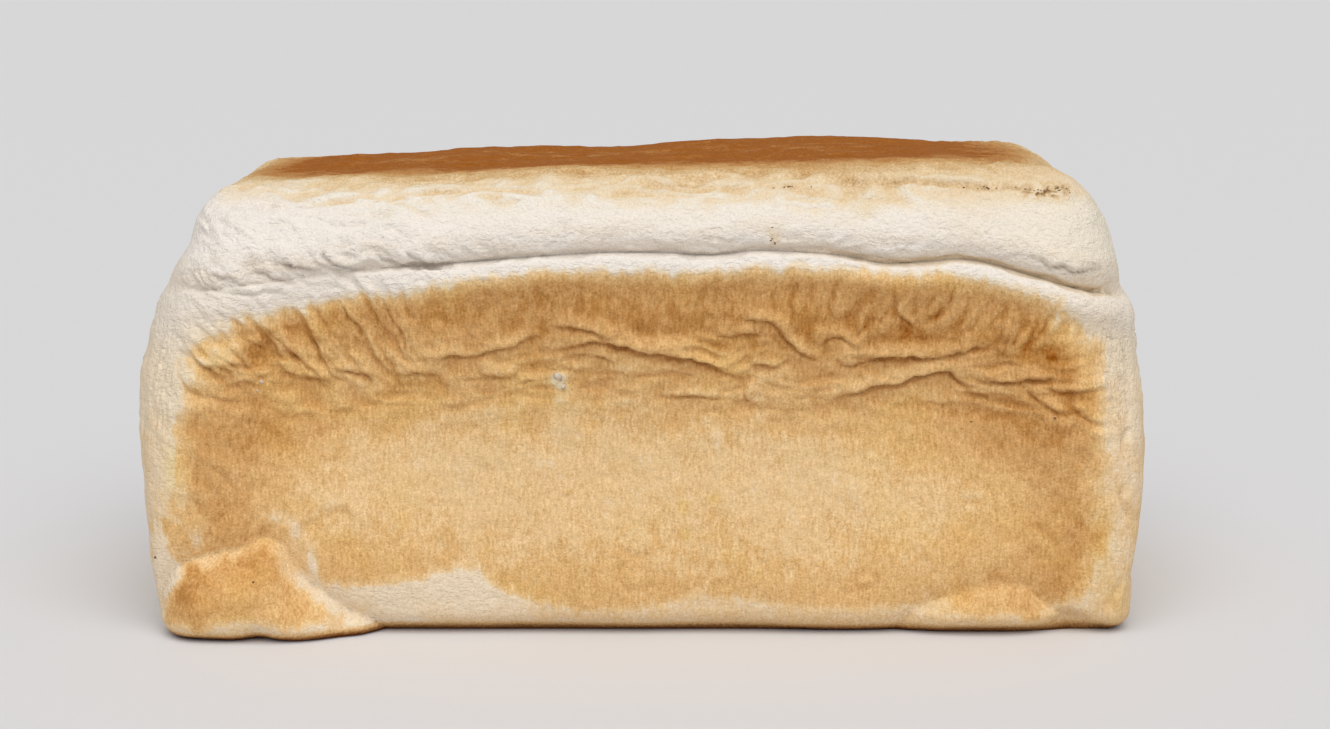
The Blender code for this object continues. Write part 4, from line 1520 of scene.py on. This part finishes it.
@dataclass
class Loaf:
    """The whole loaf in one skin: plain form, fine relief, and the browning and painted shade that its
    material reads.

    Attributes:
        form: The loaf's plain form.
        relief: The fine relief on it.
        baking: How brown it is, and the shade painted into it.
        finish: The crust's finish.
        step: Spacing of the skin's grid.
        fine_depth: How far back over the top the grid is twice as fine, as it is on the front.
        finest: Heights of the front that the grid is four times as fine between.
        base_cells: Cells of the flat base joined into one each way.
    """

    form: LoafForm
    relief: Relief
    baking: Baking
    finish: CrustFinish = CrustFinish()
    step: float = 0.0020
    fine_depth: float = 0.028
    finest: tuple[float, float] = (0.058, 0.102)
    base_cells: int = 4

    def grid(self) -> bmesh.types.BMesh:
        """The loaf's plain box cut into an even grid, finer over the front and coarser under the base."""
        form = self.form
        bm = bmesh.new()
        bmesh.ops.create_cube(bm, size=2)
        for axis, size in enumerate((form.length, form.width, form.height)):
            along = [e for e in bm.edges if abs((e.verts[0].co - e.verts[1].co)[axis]) > 1]
            cuts = round(size / self.step) - 1
            bmesh.ops.subdivide_edges(bm, edges=along, cuts=cuts, use_grid_fill=True)
        bmesh.ops.scale(bm, vec=(form.length / 2, form.width / 2, form.height / 2), verts=bm.verts)
        bmesh.ops.translate(bm, vec=(0, 0, form.height / 2), verts=bm.verts)
        self.coarsen_base(bm)
        front = -form.width / 2 + 1e-6
        back_edge, top = front + self.fine_depth, form.height - 1e-6
        self.refine(bm, lambda c: c.y < front or (c.z > top and c.y < back_edge))
        self.refine(bm, lambda c: c.y < front and self.finest[0] < c.z < self.finest[1])
        bmesh.ops.recalc_face_normals(bm, faces=bm.faces)
        return bm

    def refine(self, bm: bmesh.types.BMesh, wanted: Callable[[Vector], bool]) -> None:
        """Halve the cells whose middle is wanted."""
        edges = {e for f in bm.faces if wanted(f.calc_center_median()) for e in f.edges}
        bmesh.ops.subdivide_edges(bm, edges=list(edges), cuts=1, use_grid_fill=True)

    def coarsen_base(self, bm: bmesh.types.BMesh) -> None:
        """Join the flat base's cells, away from its edge, into larger ones."""
        counts = [round(size / self.step) for size in (self.form.length, self.form.width)]
        halves = (self.form.length / 2, self.form.width / 2)
        margin = 3 * self.base_cells * self.step

        def joined(edge: bmesh.types.BMEdge) -> bool:
            """Whether an edge lies inside one of the larger cells."""
            a, b = (v.co for v in edge.verts)
            if max(a.z, b.z) > 1e-6:
                return False
            if any(abs(v[axis]) > halves[axis] - margin for v in (a, b) for axis in (0, 1)):
                return False
            across = 0 if abs(a.x - b.x) < 1e-7 else 1
            line = round((a[across] + halves[across]) / (2 * halves[across]) * counts[across])
            return line % self.base_cells != 0

        bmesh.ops.dissolve_edges(bm, edges=[e for e in bm.edges if joined(e)], use_verts=True)

    def build(self) -> bpy.types.Object:
        """The loaf's finished piece."""
        loaf = finished("crust", self.grid(), self.finish.material())
        mesh = loaf.data
        box = vectors(mesh.vertices, "co")
        places, out, level = self.form.places(box)
        arc, flat = self.form.over_crust(box, out)
        spread = arc - inside(np.array(self.baking.deep_top) * MM, flat[:, 0], flat[:, 1])
        skin = Skin(places, out, level, arc, spread, self.form.crease_strength(places))
        mesh.vertices.foreach_set("co", places.ravel())
        mesh.update()
        raised = self.relief.offset(skin)
        crust = places + raised[:, None] * vectors(mesh.vertex_normals, "vector")
        crust[:, 2] = np.maximum(crust[:, 2], 0.0)
        lowest, highest = places.min(axis=0), places.max(axis=0)
        crust -= ((lowest[0] + highest[0]) / 2, (lowest[1] + highest[1]) / 2, lowest[2])
        mesh.vertices.foreach_set("co", crust.ravel())
        colours = self.baking.colours(skin, raised)
        for name, values in (("crust", colours), ("grain", self.baking.grains(colours[:, 0]))):
            mesh.attributes.new(name, "FLOAT_COLOR", "POINT").data.foreach_set("color", values.ravel())
        mesh.shade_smooth()
        mesh.update()
        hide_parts("loaf")
        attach(loaf, "root")
        return loaf


@dataclass(frozen=True)
class Speck:
    """One speck on the crust.

    Attributes:
        aim: Where it lies on the wall, in millimetres, as (x, z).
        size: Its length, width and thickness, in millimetres.
        turn: Its turn about the way the crust faces, in degrees.
    """

    aim: tuple[float, float]
    size: Triple
    turn: float = 0.0


@dataclass
class Specks:
    """Small specks of one kind, pressed into the front of the crust as one piece.

    Attributes:
        name: The piece's name.
        finish: Their finish.
        specks: Where each lies.
        sunk: Share of each one's thickness that is sunk in the crust.
    """

    name: str
    finish: SpeckFinish
    specks: Sequence[Speck]
    sunk: float = 0.35

    def build(self, loaf: bpy.types.Object) -> bpy.types.Object:
        """The specks' piece, laid on the finished crust.

        Args:
            loaf: The loaf's finished piece.

        Returns:
            The piece.
        """
        skin = BVHTree.FromObject(loaf, bpy.context.evaluated_depsgraph_get())
        bm = bmesh.new()
        for number, speck in enumerate(self.specks):
            x, z = speck.aim
            hit, facing, _, _ = skin.ray_cast(Vector((x * MM, -0.2, z * MM)), Vector((0, 1, 0)))
            if hit is None:
                continue
            made = bmesh.ops.create_icosphere(bm, subdivisions=1, radius=0.5)["verts"]
            pick = random.Random(number)
            for vert in made:
                vert.co *= pick.uniform(0.75, 1.2)
            bmesh.ops.scale(bm, vec=[s * MM for s in speck.size], verts=made)
            turn = Matrix.Rotation(math.radians(speck.turn), 3, "Z")
            lie = facing.to_track_quat("Z", "Y").to_matrix()
            bmesh.ops.rotate(bm, matrix=lie @ turn, verts=made)
            lift = (0.5 - self.sunk) * speck.size[2] * MM
            bmesh.ops.translate(bm, vec=hit + lift * facing, verts=made)
        bmesh.ops.recalc_face_normals(bm, faces=bm.faces)
        piece = finished(self.name, bm, self.finish.material())
        piece.data.shade_smooth()
        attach(piece, "root")
        return piece


def scattered(middle: tuple[float, float], half: tuple[float, float], count: int, seed: int) -> list[Speck]:
    """A scatter of small specks about a place on the wall.

    Args:
        middle: The place, in millimetres.
        half: How far the scatter reaches to each side, in millimetres.
        count: Number of specks.
        seed: Picks one arrangement.

    Returns:
        The specks.
    """
    pick = random.Random(seed)
    made = []
    for _ in range(count):
        aim = (middle[0] + half[0] * pick.gauss(0, 0.5), middle[1] + half[1] * pick.gauss(0, 0.5))
        long = pick.uniform(0.35, 0.8)
        made.append(Speck(aim, (long, long * pick.uniform(0.4, 0.8), 0.2), pick.uniform(-40, 40)))
    return made


@dataclass(frozen=True)
class Studio:
    """Pale floor, soft light and the camera.

    Attributes:
        floor_size: Side of the floor.
        floor_colour: Its colour, as screen levels.
        floor_roughness: How matt it is.
        camera_place: Where the camera stands.
        camera_pitch: How far it looks down, in degrees.
        lens: Its lens, in millimetres.
        ambient: Strength of the light from all round.
        key_from: The way that the soft light overhead comes from.
        key_strength: Its strength.
        key_spread: How wide it is, in degrees.
    """

    floor_size: float = 80.0
    floor_colour: Triple = (214, 213, 214)
    floor_roughness: float = 0.9
    camera_place: Triple = (0.00586, -0.65619, 0.18035)
    camera_pitch: float = 10.274
    lens: float = 65.37
    ambient: float = 0.40
    key_from: Triple = (0.10, -1.0, 1.6)
    key_strength: float = 2.35
    key_spread: float = 70.0

    def floor(self) -> bpy.types.Object:
        """A plain pale floor."""
        bm = bmesh.new()
        bmesh.ops.create_grid(bm, x_segments=2, y_segments=2, size=self.floor_size / 2)
        bench = Bench("floor")
        bench.put(bench.shader.inputs["Base Color"], (*(linear(c) for c in self.floor_colour), 1.0))
        bench.put(bench.shader.inputs["Roughness"], self.floor_roughness)
        return finished("floor", bm, bench.material)

    def key(self) -> bpy.types.Object:
        """The broad soft light overhead."""
        light = bpy.data.lights.new("key", "SUN")
        light.energy = self.key_strength
        light.angle = math.radians(self.key_spread)
        lamp = bpy.data.objects.new("key", light)
        lamp.location = self.key_from
        lamp.rotation_euler = (-Vector(self.key_from)).to_track_quat("-Z", "Y").to_euler()
        bpy.context.scene.collection.objects.link(lamp)
        return lamp

    def build(self) -> None:
        """Set up the floor, the lights, the world and the camera."""
        scene = bpy.context.scene
        self.floor()
        self.key()
        world = bpy.data.worlds.new("studio")
        world.use_nodes = True
        back = world.node_tree.nodes["Background"]
        back.inputs["Color"].default_value = (1.0, 1.0, 1.0, 1.0)
        back.inputs["Strength"].default_value = self.ambient
        scene.world = world
        camera = bpy.data.cameras.new("camera")
        camera.lens = self.lens
        camera.sensor_width = 36.0
        eye = bpy.data.objects.new("camera", camera)
        eye.location = self.camera_place
        eye.rotation_euler = (math.radians(90 - self.camera_pitch), 0, 0)
        scene.collection.objects.link(eye)
        scene.camera = eye
        scene.view_settings.view_transform = "Standard"


def main() -> None:
    """Build the loaf, its specks and the studio, and report each piece."""
    logging.basicConfig(level=logging.INFO, format="%(name)s: %(message)s")
    relief = Relief(
        {
            Wall.FRONT: FRONT_FOLDS + fanned(FRONT_FANS),
            Wall.BACK: mirrored(FRONT_FOLDS, 3) + fanned(BACK_FANS),
            Wall.LEFT: fanned(END_FANS),
            Wall.RIGHT: fanned([replace(fan, seed=fan.seed + 40) for fan in END_FANS]),
        },
        CREPES,
    )
    loaf = Loaf(LoafForm(), relief, Baking(PANELS, BLUSHES)).build()
    burnt = [
        Speck((-98.8, 16.4), (0.7, 0.6, 0.4)),
        Speck((-125.5, 20.5), (1.0, 0.8, 0.4)),
        Speck((104.9, 57.5), (0.9, 0.7, 0.4)),
        Speck((84.4, 55.5), (0.6, 0.5, 0.3)),
        *scattered((103, 114.2), (6, 0.7), 26, 3),
        *scattered((90, 114.8), (9, 0.5), 9, 4),
        *scattered((37, 115.4), (6, 0.6), 8, 5),
        *scattered((33, 104), (1.8, 2.4), 6, 6),
    ]
    char = Specks("char_specks", SpeckFinish("char", (84, 58, 34), (142, 110, 74)), burnt).build(loaf)
    pale = [
        Speck((-21.6, 67.4), (2.6, 3.4, 0.22), 20),
        Speck((-20.2, 64.8), (1.8, 1.4, 0.2), 70),
        Speck((-96.6, 66.5), (1.2, 1.7, 0.24), 60),
        Speck((-97.8, 64.2), (0.8, 0.7, 0.2), 10),
    ]
    pale_dough = SpeckFinish("flake", (206, 186, 160), (228, 214, 196))
    flakes = Specks("pale_flakes", pale_dough, pale, 0.55).build(loaf)
    Studio().build()
    for piece in (loaf, char, flakes):
        LOG.info("%s: %d faces, %d corners", piece.name, len(piece.data.polygons), len(piece.data.vertices))


if __name__ == "__main__":
    main()
